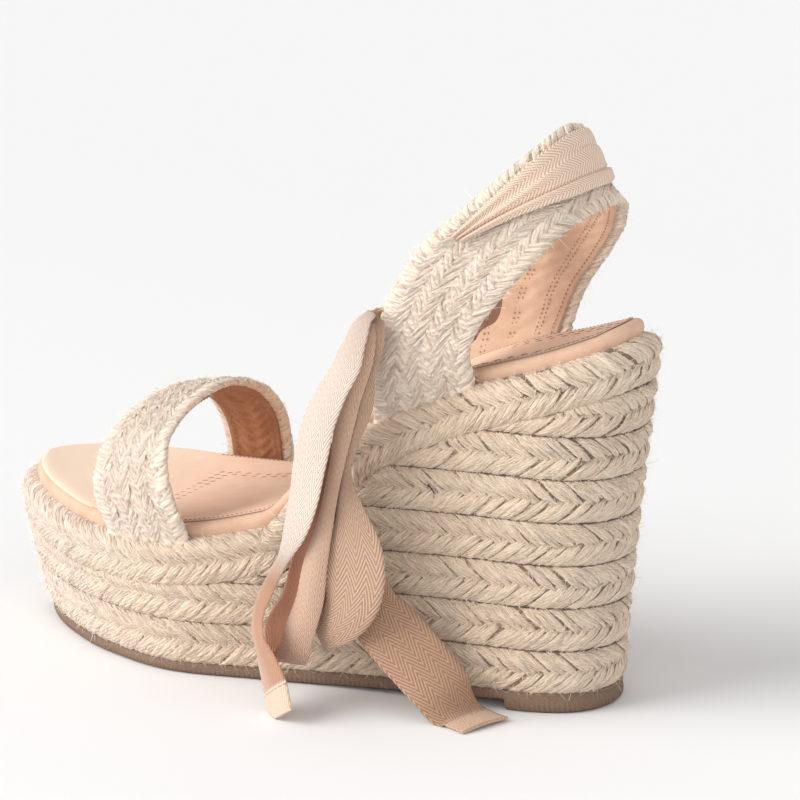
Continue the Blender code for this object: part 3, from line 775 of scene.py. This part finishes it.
def dots(centres, normals, ahead, long, wide):
    """Small domed marks on a surface."""
    n = DOT_AROUND
    ring = np.linspace(0, ROUND, n + 1)[:-1][None, :, None]
    ahead = unit(ahead - normals * (ahead * normals).sum(axis=1, keepdims=True))
    beside = np.cross(normals, ahead)[:, None]
    middle, normal = centres[:, None], normals[:, None]
    rim = middle + long * np.cos(ring) * ahead[:, None] + wide * np.sin(ring) * beside - DOT_SINK * normal
    top = middle + 0.5 * (rim - middle) + DOT_RISE * normal
    points = np.concatenate([rim, top], axis=1).reshape(-1, 3)
    walls = [(k, (k + 1) % n, n + (k + 1) % n, n + k) for k in range(n)]
    caps = [(8, 9, 10, 11), (8, 11, 12, 15), (12, 13, 14, 15)]
    return points, copies(np.array(walls + caps), len(centres), 2 * n), {}


def lining_marks(rows, step):
    """Pairs of needle holes in rows between the plaits, and a stitch line along each edge."""
    t = np.linspace(0.02, 0.98, 600)
    run = run_length(strap_point(rows, t, 0.5, -STRAP / 2))
    wide = strap_width(rows, t)
    holes, threads = [], []
    for line in range(1, STRAP_PLAITS):
        for shift in (-HOLE_APART, HOLE_APART):
            at = np.interp(np.arange(HOLE_MARGIN + shift, run[-1] - HOLE_MARGIN, step), run, t)
            holes.append((at, line / STRAP_PLAITS + shift / np.interp(at, t, wide)))
    for first, sign in ((0, 1), (1, -1)):
        at = np.interp(np.arange(THREAD_MARGIN, run[-1] - THREAD_MARGIN, THREAD_STEP), run, t)
        threads.append((at, first + sign * (LINING_BACK + THREAD_IN) / np.interp(at, t, wide)))
    made = []
    for spots, size in ((holes, HOLE), (threads, STITCH)):
        at, across = (np.concatenate(a) for a in zip(*spots))
        centre = strap_point(rows, at, across, -STRAP / 2 - MARK_OFF - lining_puff(across))
        normal = unit(strap_point(rows, at, across, -STRAP / 2 - 1.0) - centre)
        ahead = strap_point(rows, np.minimum(at + 0.004, 1), across, -STRAP / 2) - centre
        made.append(dots(centre, normal, ahead, *size))
    return made


def make_lining(name, rows, step, suede, hole, thread):
    piece(name, lining_sheet(rows), suede)
    holes, threads = lining_marks(rows, step)
    piece(name + "_holes", holes, hole)
    piece(name + "_thread", threads, thread)


# Insole
def sock_dish(phi, near):
    """Depth of the sock's hollow at a distance from its edge."""
    return (DISH + SEAT_DISH * ease((share(phi) - SEAT_START) / SEAT_RUN)) * ease(near / DISH_REACH)


def make_insole(suede, sock):
    phi, side = station(np.linspace(0, ROUND, 481)[:-1])
    base = top_height(phi)
    rings = [np.column_stack([outline(phi, side, 1.0, inset), base + up]) for inset, up in RAND]
    piece("insole_rand", skin(np.stack(rings, axis=1), UP, True), suede, ["insole"])
    phi = np.linspace(0, math.pi, 241)
    toe = ease((TOE_END - share(phi)) / TOE_RUN)
    outer, inner = (outline(phi, side, 1.0, SOCK_INSET - SOCK_TOE * toe) for side in (-1.0, 1.0))
    c = (1 - np.cos(np.pi * np.linspace(0, 1, 41))) / 2
    plan = outer[:, None] * (1 - c)[None, :, None] + inner[:, None] * c[None, :, None]
    near = np.minimum(c, 1 - c) * np.linalg.norm(inner - outer, axis=1)[:, None]
    toe = toe[:, None]
    roll = (0.55 + 0.5 * toe) * np.exp(-near / (0.35 + 0.9 * toe))
    z = top_height(phi)[:, None] + SOCK_RISE - roll - sock_dish(phi[:, None], near)
    # Painted shadow along the sock's rim
    rim = np.exp(-near / RIM_SHADE_RUN) * ease((plan[..., 0] - RIM_SHADE_START) / RIM_SHADE_FADE)
    piece("insole_sock", skin(np.dstack([plan, z]), UP, rim=rim.ravel()), sock)


def sock_height(spots):
    """Height of the sock at places well inside its edge."""
    z = np.empty(len(spots))
    for sign in (-1.0, 1.0):
        rim = outline(FINE, sign, 1.0, SOCK_INSET)
        side = spots[:, 1] * sign >= 0
        phi = np.interp(spots[side, 0], rim[:, 0], FINE)
        near = np.maximum(np.abs(np.interp(phi, FINE, rim[:, 1])) - np.abs(spots[side, 1]), 0)
        z[side] = top_height(phi) + SOCK_RISE - sock_dish(phi, near)
    return z


def make_insole_marks(thread, pressed):
    """Stitches along the sock's edge and a pressed double line of dashes inside it at the heel."""
    phi, side = station(np.linspace(0, ROUND, 3001))
    made = []
    for inset, step, long, thin, first in SOCK_LINES:
        plan = outline(phi, side, 1.0, SOCK_INSET + inset)
        path = np.column_stack([plan, sock_height(plan) + STITCH_LIFT])
        run = run_length(path)
        at = np.arange(1, run[-1] - 1, step)
        centre, ahead = (np.column_stack([np.interp(a, run, k) for k in path.T]) for a in (at, at + 0.5))
        ahead = ahead - centre
        normal = unit(np.cross(np.cross(ahead, UP), ahead))
        keep = centre[:, 0] > first
        made.append(dots(centre[keep], normal[keep], ahead[keep], long, thin))
    piece("insole_stitches", made[0], thread)
    piece("insole_pressed", join(made[1:]), pressed)


def make_ball_marks(soft):
    """Pairs of pressed dashes across the ball and back along the inner side."""
    xs = np.arange(PRESSED_X + PRESSED_STEP[0], PRESSED_END, PRESSED_STEP[0])
    ys = np.arange(-PRESSED_Y, PRESSED_Y + 1, PRESSED_STEP[1])
    made = []
    for shift in (-PRESSED_APART, PRESSED_APART):
        cross = np.column_stack([np.full(ys.shape, PRESSED_X + shift), ys])
        back = np.column_stack([xs, np.full(xs.shape, PRESSED_Y + shift)])
        for spots in (cross, back):
            phi = np.arccos(1 - 2 * (spots[:, 0] + TREAD_LENGTH / 2 + TOE_OVERHANG) / TOP_LENGTH)
            centre = np.column_stack([spots, sock_height(spots) + PRESSED_LIFT])
            normal = unit(np.column_stack([-top_slope(phi), 0 * phi, 0 * phi + 1]))
            made.append(dots(centre, normal, np.tile(PRESSED_AHEAD, (len(spots), 1)), *PRESSED_DASH))
    piece("insole_ball_marks", join(made), soft)


# Outsole
def make_outsole(look):
    turn = np.linspace(0, ROUND, 8001)
    run = run_length(outline(*station(turn), 0.0, OUTSOLE_INSET))
    count = int(run[-1] / RIB_PITCH) * 4
    phi, side = station(np.interp(np.arange(count) * run[-1] / count, run, turn))
    floor = tread_height(phi)
    tall = base_height(phi) + OUTSOLE_LAP - floor
    notch = RIB_DEPTH * (0.5 - 0.5 * np.cos(np.arange(count) * math.pi / 2))
    rings = []
    for inset, up, cut in OUTSOLE_EDGE:
        plan = outline(phi, side, 0.0, OUTSOLE_INSET + inset + cut * notch)
        rings.append(np.column_stack([plan, floor + up * tall]))
    walls = np.stack(rings, axis=1)
    down = (walls - 40.0 * UP) * (0.2, 1.0, 1.0)
    phi = np.linspace(0, math.pi, 121)
    outer, inner = (np.column_stack([outline(phi, side, 0.0, OUTSOLE_INSET + TREAD_EDGE), tread_height(phi)])
                    for side in (-1.0, 1.0))
    c = np.linspace(0, 1, 9)[None, :, None]
    tread = outer[:, None] * (1 - c) + inner[:, None] * c
    piece("outsole_rubber", join([skin(walls, down, True), skin(tread, -UP)]), look, ["outsole"])


# Ribbon
def weave_marks(u, run, to_end):
    """Place in the weave of the points round a ribbon's two faces: across, along, and from its end, where a
    value above FAR marks painted shade.
    """
    ring = np.concatenate([u, u[::-1], u[:1]]) * TAPE_WIDTH / 2
    values = np.broadcast_arrays(ring, run[:, None], np.reshape(to_end, (-1, 1)))
    return {"weave": np.dstack(values).reshape(-1, 3)}


def tape_sheet(middle, wide, face, thick, to_end, wave):
    """Ribbon with two faces and edges; wide and face are its half width and face direction at a section."""
    run = run_length(middle)
    u = np.linspace(-1, 1, TAPE_ACROSS)
    half = np.linalg.norm(wide, axis=1)
    lack = np.clip(TAPE_WIDTH / 2 / np.maximum(half, 1e-6), 1, 3)
    sag = half * 0.30 * np.sqrt(np.maximum(lack - 1, 0.02))
    wave = wave * ease(np.minimum(to_end, FAR) / WAVE_FADE)
    cross = np.cos(u * math.pi / 2) * sag[:, None]
    cross = cross + (wave * np.sin(run / WAVE_RUNS[0]))[:, None] * u ** 3
    cross = cross + 0.4 * (wave * np.sin(run / WAVE_RUNS[1] + 1))[:, None] * u ** 2
    core = middle[:, None] + u[None, :, None] * wide[:, None] + cross[..., None] * face[:, None]
    body = thick[:, None] / 2 * (1 - 0.5 * np.abs(u) ** 8)
    top, low = (core + side * body[..., None] * face[:, None] for side in (1, -1))
    ring = np.concatenate([top, low[:, ::-1], top[:, :1]], axis=1)
    ring[..., 2] = np.maximum(ring[..., 2], TAPE_FLOOR)
    points, sides, marks = skin(ring, ring - middle[:, None], **weave_marks(u, run, to_end))
    last = 2 * TAPE_ACROSS - 1
    cap = np.array([(j, j + 1, last - 1 - j, last - j) for j in range(TAPE_ACROSS - 1)])
    return points, np.concatenate([sides, cap, cap + (len(middle) - 1) * ring.shape[1]]), marks


def tape_run(table, sections, wave=TAPE_WAVE, hem=False, thick=TAPE, inner=1.0):
    """Ribbon along a table of sections, its middle line and its half width; from the share inner on it gets
    painted shade.
    """
    at = np.linspace(0, 1, sections)
    row = spline(table, at)
    middle = row[:, :3]
    run = unit(np.gradient(middle, axis=0))
    turn, lean = np.radians(row[:, 3]), np.radians(row[:, 4])
    wide = np.column_stack([np.cos(turn) * np.cos(lean), np.sin(turn) * np.cos(lean), np.sin(lean)])
    wide = unit(wide - run * (wide * run).sum(axis=1, keepdims=True)) * row[:, 5:6] / 2
    face = unit(np.cross(run, wide))
    thicks = np.full(sections, thick)
    # A value above FAR marks painted shade, from the share inner of the run on
    to_end = FAR + FAR * ease((at - inner) / 0.06)
    if hem:
        length = run_length(middle)
        to_end = length[-1] - length
        thicks = thick + HEM_THICK * ease((HEM - to_end) / 0.6)
    return tape_sheet(middle, wide, face, thicks, to_end, wave), middle, wide


def make_heel_band(look):
    table = np.vstack([HEEL_BAND, HEEL_BAND[-2::-1] * (-1, 1, 1) + (1, 0, 0)])
    along = np.linspace(table[0, 0], table[-1, 0], 161)
    middle, width = (smooth(table[:, 0], table[:, k], along) for k in (1, 2))
    u = np.linspace(-1, 1, BAND_ACROSS)
    tight = (1 - width / TAPE_WIDTH)[:, None]
    folds = 0.9 * tight * np.cos(u * math.pi * 3 + 0.8) * (1 - u ** 6)
    crease = (u - (0.52 - 0.5 * tight)) / 0.05
    folds = folds - 0.8 * np.exp(-crease ** 2) + 0.45 * ease(crease) * (u < 0.96)
    folds = folds + 0.4 * ease((u - (-0.45 + 0.8 * tight)) / 0.04)
    across = middle[:, None] + 0.5 * u * (width / strap_width(BACK_ROWS, along))[:, None]
    spots = (np.repeat(along, BAND_ACROSS), across.ravel())
    layers = []
    for off in (BAND_HALF, -BAND_HALF):
        body = STRAP / 2 + BAND_GAP + folds + off * (1 - np.abs(u) ** 8)
        layers.append(strap_point(BACK_ROWS, *spots, body.ravel()).reshape(len(along), BAND_ACROSS, 3))
    top, low = layers
    ring = np.concatenate([top, low[:, ::-1], top[:, :1]], axis=1)
    path = top[:, BAND_ACROSS // 2]
    marks = weave_marks(u, run_length(path), FAR)
    shape = skin(ring, ring - ring.mean(axis=1, keepdims=True), **marks)
    made = piece("heel_band_tape", shape, look, ["ribbon_heel_band"])


def make_knot(look):
    clear = STRAP / 2 + TAPE + KNOT / 2
    hook = np.vstack([strap_point(BACK_ROWS, KNOT_PLACE, a, off * clear) for a, off in KNOT_HOOK])
    upright = np.tile((0.0, 90.0, KNOT_WIDTH), (len(hook), 1))
    shape, path, _ = tape_run(np.column_stack([hook - KNOT_DROP * UP, upright]), 41, 0.2, thick=2 * TAPE)
    made = piece("knot_tape", shape, look, ["bow_knot"])


def make_fold(name, table, node, look, inner):
    """Run or loop of the ribbon, held at the knot."""
    shape, path, _ = tape_run(table, 141, inner=inner)
    piece(name, shape, look, [node])


def make_end(name, table, node, look):
    """Free end of the ribbon; its route lies a share of the half width off its middle, and the path worked
    out here for it is not used.
    """
    shape, path, wide = tape_run(table, 181, hem=True)
    path = path - PATH_SHIFT * wide
    made = piece(name, shape, look, [node])


# Materials
class Nodes:
    """A node tree, with short ways to add nodes to it."""

    def __init__(self, tree):
        self.tree = tree

    def add(self, kind, links, **settings):
        node = self.tree.nodes.new(kind)
        for key, value in settings.items():
            setattr(node, key, value)
        for socket, value in links.items():
            if isinstance(value, bpy.types.NodeSocket):
                self.tree.links.new(value, node.inputs[socket])
            else:
                node.inputs[socket].default_value = value
        return node

    def calc(self, operation, a, b=0.0, c=0.0):
        return self.add("ShaderNodeMath", {0: a, 1: b, 2: c}, operation=operation).outputs[0]

    def times(self, a, b, plus=0.0):
        return self.calc("MULTIPLY_ADD", a, b, plus)

    def wave(self, turns):
        """Sine of a number of turns, brought to between 0 and 1."""
        return self.times(self.calc("SINE", self.times(turns, ROUND)), 0.5, 0.5)

    def ramp(self, value, low, high, most=1.0):
        """Value brought from between low and high to between 0 and most."""
        links = {"Value": value, "From Min": low, "From Max": high, "To Max": most}
        return self.add("ShaderNodeMapRange", links).outputs["Result"]

    def tint(self, factor, first, second):
        """Mix of two colours, each a socket or three values."""
        a, b = (c if isinstance(c, bpy.types.NodeSocket) else (*c, 1) for c in (first, second))
        return self.add("ShaderNodeMix", {0: factor, 6: a, 7: b}, data_type="RGBA").outputs[2]

    def paint(self, factor, colour):
        """A colour over the one that is there."""
        self.colour = self.tint(factor, self.colour, colour)

    def noise(self, vector, scale, detail=3.0, rough=0.55):
        links = {"Vector": vector, "Scale": scale, "Detail": detail, "Roughness": rough}
        return self.add("ShaderNodeTexNoise", links).outputs["Fac"]

    def stretch(self, vector, scale):
        return self.add("ShaderNodeMapping", {"Vector": vector, "Scale": scale}).outputs["Vector"]

    def split(self, vector):
        return self.add("ShaderNodeSeparateXYZ", {"Vector": vector}).outputs

    def mark(self, name, kind="Fac"):
        return self.add("ShaderNodeAttribute", {}, attribute_name=name).outputs[kind]

    def place_mm(self):
        coordinate = self.add("ShaderNodeTexCoord", {}).outputs["Object"]
        return self.stretch(coordinate, (1000.0, 1000.0, 1000.0))


class Look(Nodes):
    """A new material and its nodes."""

    def __init__(self, name, roughness, sheen, specular):
        self.material = bpy.data.materials.new(name)
        self.material.use_nodes = True
        super().__init__(self.material.node_tree)
        self.inputs = self.tree.nodes["Principled BSDF"].inputs
        self.inputs["Roughness"].default_value = roughness
        self.inputs["Specular IOR Level"].default_value = specular
        self.inputs["Sheen Weight"].default_value = sheen

    def finish(self, height, distance, strength):
        links = {"Height": height, "Distance": distance * MM, "Strength": strength}
        self.tree.links.new(self.add("ShaderNodeBump", links).outputs["Normal"], self.inputs["Normal"])
        self.tree.links.new(self.colour, self.inputs["Base Color"])
        return self.material


def scaled(colour, shares):
    return tuple(np.minimum(np.multiply(colour, shares), 1.0).tolist())


def rope_look(name, light, tan, crack_shade, depth, twist, contrast, sheen):
    """Twisted bast fibre: streaks and plies along each yarn, with painted shade where yarns meet, between
    plies and in the grooves between rows.
    """
    look = Look(name, 0.92, sheen, 0.15)
    fibre, tone, deep = look.mark("fibre", "Vector"), look.mark("tone"), look.mark("deep")
    streak = look.noise(look.stretch(fibre, (2, 0.15, 1)), 1, 3, 0.6)
    fine = look.noise(look.stretch(fibre, (4.4, 0.24, 1)), 1, 2, 0.7)
    split = look.noise(look.stretch(fibre, (1.5, 0.1, 1.7)), 1, 3, 0.6)
    patch = look.noise(look.stretch(fibre, (1, 0.14, 1)), 1, 2, 0.5)
    across, along, _ = look.split(fibre)
    turns = look.times(across, twist[0], look.times(along, twist[1]))
    ply = look.calc("SINE", look.times(streak, 3, turns))
    look.colour = look.tint(look.ramp(streak, 0.36, 0.58), tan, light)
    look.paint(look.ramp(fine, 0.54, 0.68, 0.6 * contrast), scaled(tan, (0.64, 0.56, 0.48)))
    # Painted highlight: paler glints on some fibres
    look.paint(look.ramp(fine, 0.47, 0.34, 0.8), scaled(light, 1.16))
    # Painted shade in the grooves between the plies of each yarn
    look.paint(look.ramp(ply, -0.35, -1, twist[2]), scaled(tan, (0.76, 0.68, 0.6)))
    # Painted shade on the upper set of yarns of each row, plus a random shift per yarn
    look.paint(look.ramp(tone, 0.35, 1, 0.5 * contrast), scaled(tan, 0.88))
    spot = look.place_mm()
    x = look.split(spot)[0]
    toeward, heelward = look.ramp(x, -10, -95), look.ramp(x, 20, 95)
    # Painted highlight: a pale, washed-out colour towards the toe
    look.paint(look.times(toeward, 0.55), (0.98, 0.855, 0.76))
    # Warmer and paler towards the heel
    look.paint(look.ramp(x, 58, 95, 0.32), (0.98, 0.82, 0.66))
    look.paint(look.ramp(look.noise(spot, 0.05), 0.42, 0.68, 0.3), scaled(light, 1.06))
    # Painted shade in thin splits between fibres, in patches
    seam = look.ramp(look.calc("ABSOLUTE", look.calc("SUBTRACT", split, 0.47)), 0.022, 0.006)
    seam = look.times(seam, look.ramp(patch, 0.66, 0.46, 0.42))
    # Painted shade where yarns meet and in the grooves between rows, patchy, stronger towards the heel and
    # weaker towards the toe
    relief_shade = look.times(look.calc("SUBTRACT", patch, 0.5), -1.1, deep)
    relief_shade = look.times(heelward, 0.25, look.times(toeward, -0.42, relief_shade))
    dark = look.times(look.calc("MAXIMUM", look.ramp(relief_shade, 0.5, 0.98), seam), depth)
    look.paint(dark, crack_shade)
    # Painted shade, near black, in the deepest grooves
    look.paint(look.ramp(relief_shade, 1, 1.7), scaled(crack_shade, 0.3))
    height = look.calc("ADD", look.times(ply, 0.45, streak), look.times(seam, -0.8, fine))
    return look.finish(height, 0.45, 1)


def suede_look(name, light, dark, nap, lit_toe=None):
    """Napped leather; given a toe colour it is the sock's: painted light makes it paler at the toe, it is
    darker at the heel, and painted shadow darkens its rim.
    """
    look = Look(name, 0.88, 0.15, 0.2)
    look.inputs["Sheen Roughness"].default_value = 0.6
    spot = look.place_mm()
    fine = look.noise(spot, 3.2, 4, 0.7)
    broad = look.noise(spot, 0.16)
    look.colour = look.tint(look.ramp(broad, 0.35, 0.65), light, dark)
    look.paint(look.ramp(fine, 0.35, 0.7, 0.35), scaled(dark, 0.82))
    if lit_toe:
        x = look.split(spot)[0]
        # Painted light: paler towards the toe
        look.paint(look.ramp(x, -30, -85), lit_toe)
        look.paint(look.ramp(x, 30, 75, 0.8), scaled(dark, 0.66))
        # Painted shadow along the sock's rim
        look.paint(look.times(look.mark("rim"), 0.85), scaled(dark, 0.22))
    return look.finish(look.times(broad, 1.5, fine), nap, 0.6)


def tape_look(name, light, dark, twill=(1, 2.2), under=None):
    """Herringbone tape with a stitched hem; under is the painted shade laid on the face that shows where it
    turns over.
    """
    look = Look(name, 0.9, 0.2, 0.2)
    weave = look.mark("weave", "Vector")
    across, along, to_end = look.split(weave)
    column = look.calc("PINGPONG", look.calc("ADD", across, 50), TAPE_WIDTH / 6)
    ridge = look.wave(look.times(column, 1 / twill[0], look.times(along, 1 / twill[1])))
    thread = look.wave(look.times(along, 1 / 0.7, look.times(column, -0.5)))
    grain = look.noise(weave, 2.4)
    # Weave pattern of ridges and threads, with painted shade in the valleys between ridges
    relief_shade = look.times(ridge, 0.75, look.times(thread, 0.25))
    look.colour = look.tint(look.ramp(relief_shade, 0.18, 0.68), dark, light)
    look.paint(look.ramp(grain, 0.45, 0.75, 0.22), scaled(light, 0.86))
    # Painted shade, warm and saturated, where the weave marks it
    look.paint(look.ramp(to_end, 1.1 * FAR, 2 * FAR, 0.72), scaled(dark, (0.88, 0.54, 0.4)))
    if under:
        # Painted shade on the turned-over lower part of the front end, above the hem, clear of one edge and
        # stronger towards the other
        turned_shade_mask = look.times(look.ramp(to_end, 54, 44), look.ramp(to_end, 8.6, 9.4))
        turned_shade_mask = look.times(turned_shade_mask, look.ramp(across, -9.2, -8))
        turned_shade_mask = look.times(turned_shade_mask, look.calc("ADD", look.ramp(across, -7, 3, 0.42), 0.55))
        look.paint(turned_shade_mask, under)
    look.paint(look.ramp(to_end, HEM, HEM - 0.5, 0.55), (0.72, 0.49, 0.345))
    seam = look.calc("COMPARE", to_end, HEM - 1, 0.22)
    dash = look.calc("GREATER_THAN", look.calc("PINGPONG", across, 1.3), 0.35)
    look.paint(look.times(look.times(seam, dash), 0.7), scaled(dark, 0.55))
    return look.finish(look.times(grain, 0.4, relief_shade), 0.32, 0.7)


def plain_look(name, light, dark, roughness=0.9, scale=4, nap=0.05):
    look = Look(name, roughness, 0.0, 0.3)
    fine = look.noise(look.place_mm(), scale, 4)
    look.colour = look.tint(look.ramp(fine, 0.3, 0.7), dark, light)
    return look.finish(fine, nap, 0.5)


# Stage
def aim(made, place, way):
    made.location = place
    made.rotation_euler = Vector(way).to_track_quat("-Z", "Y").to_euler()


def set_camera():
    level = math.cos(ELEVATION)
    back = np.array((math.sin(AZIMUTH) * level, -math.cos(AZIMUTH) * level, math.sin(ELEVATION)))
    right = np.array((math.cos(AZIMUTH), math.sin(AZIMUTH), 0.0))
    eye = np.array(AIM) + DISTANCE * back + CENTRE
    look = unit(-back - right * AIM_OFF[0] / FOCAL + np.cross(back, right) * AIM_OFF[1] / FOCAL)
    lens = bpy.data.cameras.new("camera")
    lens.sensor_width = SENSOR
    lens.lens = FOCAL * SENSOR / IMAGE
    lens.clip_start = 0.05
    lens.clip_end = 50.0
    holder = show("camera", lens)
    aim(holder, eye * MM, look)
    bpy.context.scene.camera = holder


def sun(name, source, strength, spread):
    lamp = bpy.data.lights.new(name, "SUN")
    lamp.energy = strength
    lamp.angle = math.radians(spread)
    aim(show(name, lamp), source, -Vector(source))


def set_stage():
    look = Look("floor", 0.9, 0.0, 0.1)
    depth = look.split(look.place_mm())[1]
    # Painted shade: the floor darkens farther back
    look.colour = look.tint(look.ramp(depth, -150, 450), (0.868, 0.862, 0.862), (0.81, 0.808, 0.808))
    look.tree.links.new(look.colour, look.inputs["Base Color"])
    mesh = bpy.data.meshes.new("floor")
    corners = ((-1, -1), (1, -1), (1, 1), (-1, 1))
    mesh.from_pydata([(x * FLOOR_HALF, y * FLOOR_HALF, 0) for x, y in corners], [], [(0, 1, 2, 3)])
    mesh.materials.append(look.material)
    floor = show("floor", mesh)
    floor.location.z = -0.0001
    world = bpy.data.worlds.new("studio")
    bpy.context.scene.world = world
    world.use_nodes = True
    sky = Nodes(world.node_tree)
    rise = sky.split(sky.add("ShaderNodeTexCoord", {}).outputs["Generated"])[2]
    level = sky.tint(sky.ramp(rise, 0, 1), (1.05, 1.05, 1.05), (0.4, 0.4, 0.4))
    light = sky.tree.nodes["Background"].inputs
    sky.tree.links.new(level, light["Color"])
    light["Strength"].default_value = 1.0
    sun("key", *KEY)
    sun("fill", *FILL)
    bpy.context.scene.view_settings.view_transform = "Standard"


# Pieces with their materials
def dress_rope():
    rope = rope_look("rope_fibre", (1, 0.8, 0.63), (0.81, 0.6, 0.435), (0.15, 0.085, 0.045),
                     0.88, (3.3, 1.9, 0.38), 1, 0.22)
    vamp = rope_look("strap_fibre", (1, 0.845, 0.7), (1, 0.79, 0.63), (0.27, 0.15, 0.08),
                     0.72, (2.9, 2, 0.4), 0.55, 0.25)
    # Painted light: the back strap's own copy, with lighter and weaker painted shade than the vamp's
    heel = rope_look("lit_heel_strap_fibre", (1, 0.85, 0.71), (1, 0.79, 0.64), (0.42, 0.25, 0.145),
                     0.48, (2.9, 2, 0.18), 0.22, 0.25)
    dark = plain_look("dark_thread", (0.05, 0.04, 0.035), (0.03, 0.025, 0.02), 0.8, 4, 0.05)
    make_ropes(rope)
    make_strap("vamp_braid", VAMP_ROWS, "vamp_strap", vamp, VAMP_SEED)
    make_strap("back_strap_braid", BACK_ROWS, "back_strap", heel, BACK_SEED)
    make_thread_end(dark)


def dress_suede():
    rand = suede_look("suede_skin", (0.8, 0.535, 0.385), (0.71, 0.45, 0.31), 0.5)
    inner = suede_look("lining_suede", (0.66, 0.437, 0.305), (0.59, 0.377, 0.255), 0.25)
    # Painted shade: a darker, more saturated copy of the lining suede for the inside of the vamp
    shade = suede_look("shaded_vamp_suede", (0.41, 0.186, 0.085), (0.335, 0.14, 0.06), 0.4)
    sock = suede_look("sock_skin", (0.97, 0.665, 0.475), (0.91, 0.58, 0.4), 0.12, (0.91, 0.7, 0.535))
    thread = plain_look("tan_thread", (0.36, 0.19, 0.11), (0.27, 0.13, 0.08), 0.8, 4, 0.1)
    hole = plain_look("needle_hole", (0.46, 0.26, 0.16), (0.34, 0.18, 0.11))
    pressed = plain_look("pressed_line", (0.17, 0.085, 0.05), (0.11, 0.055, 0.035))
    soft = plain_look("pressed_dash", (0.6, 0.36, 0.245), (0.5, 0.285, 0.19))
    make_lining("vamp_lining", VAMP_ROWS, VAMP_HOLES, shade, thread, thread)
    make_lining("back_lining", BACK_ROWS, BACK_HOLES, inner, hole, thread)
    make_insole(rand, sock)
    make_insole_marks(thread, pressed)
    make_ball_marks(soft)


def dress_sole():
    rubber = plain_look("outsole_brown", (0.23, 0.145, 0.096), (0.157, 0.099, 0.066), 0.6, 1.6, 0.15)
    core = plain_look("core_board", (0.4, 0.3, 0.2), (0.25, 0.18, 0.12), 0.9, 0.8, 0.3)
    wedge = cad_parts["wedge"].data.materials
    wedge.clear()
    wedge.append(core)
    make_outsole(rubber)


def dress_ribbon():
    # Lit and shaded copies of one ribbon: lighter ones for the front end, front loop, knot and heel band
    # (painted light), a darker one for the rear end (painted shade); the heel band's also has its own twill
    tape = tape_look("herringbone_tape", (0.62, 0.42, 0.307), (0.372, 0.217, 0.143))
    dim = tape_look("shaded_lower_tape", (0.52, 0.323, 0.22), (0.31, 0.169, 0.101))
    bright = tape_look("lit_front_end_tape", (0.76, 0.655, 0.575), (0.51, 0.375, 0.29), under=(0.46, 0.24, 0.15))
    lit = tape_look("lit_front_loop_tape", (0.77, 0.53, 0.395), (0.47, 0.275, 0.187))
    knot = tape_look("lit_knot_tape", (1, 0.8, 0.66), (0.78, 0.54, 0.4))
    band = tape_look("lit_stretched_tape", (0.95, 0.75, 0.61), (0.57, 0.38, 0.275), (1.2, 1.3))
    make_heel_band(band)
    make_knot(knot)
    # Painted shade: along all of the outer and cross runs, on the front loop from 0.56 and on the rear loop
    # from 0.82 of its run
    make_fold("outer_run_tape", OUTER_RUN, "ribbon_outer_run", tape, 0.0)
    make_fold("cross_run_tape", CROSS_RUN, "ribbon_cross_run", tape, 0.0)
    make_fold("front_loop_tape", LOOP_FRONT, "bow_loop_front", lit, 0.56)
    make_fold("rear_loop_tape", LOOP_REAR, "bow_loop_rear", tape, 0.82)
    make_end("front_end_tape", END_FRONT, "bow_end_front", bright)
    make_end("rear_end_tape", END_REAR, "bow_end_rear", dim)


def main():
    set_camera()
    set_stage()
    dress_sole()
    dress_rope()
    dress_suede()
    dress_ribbon()


main()
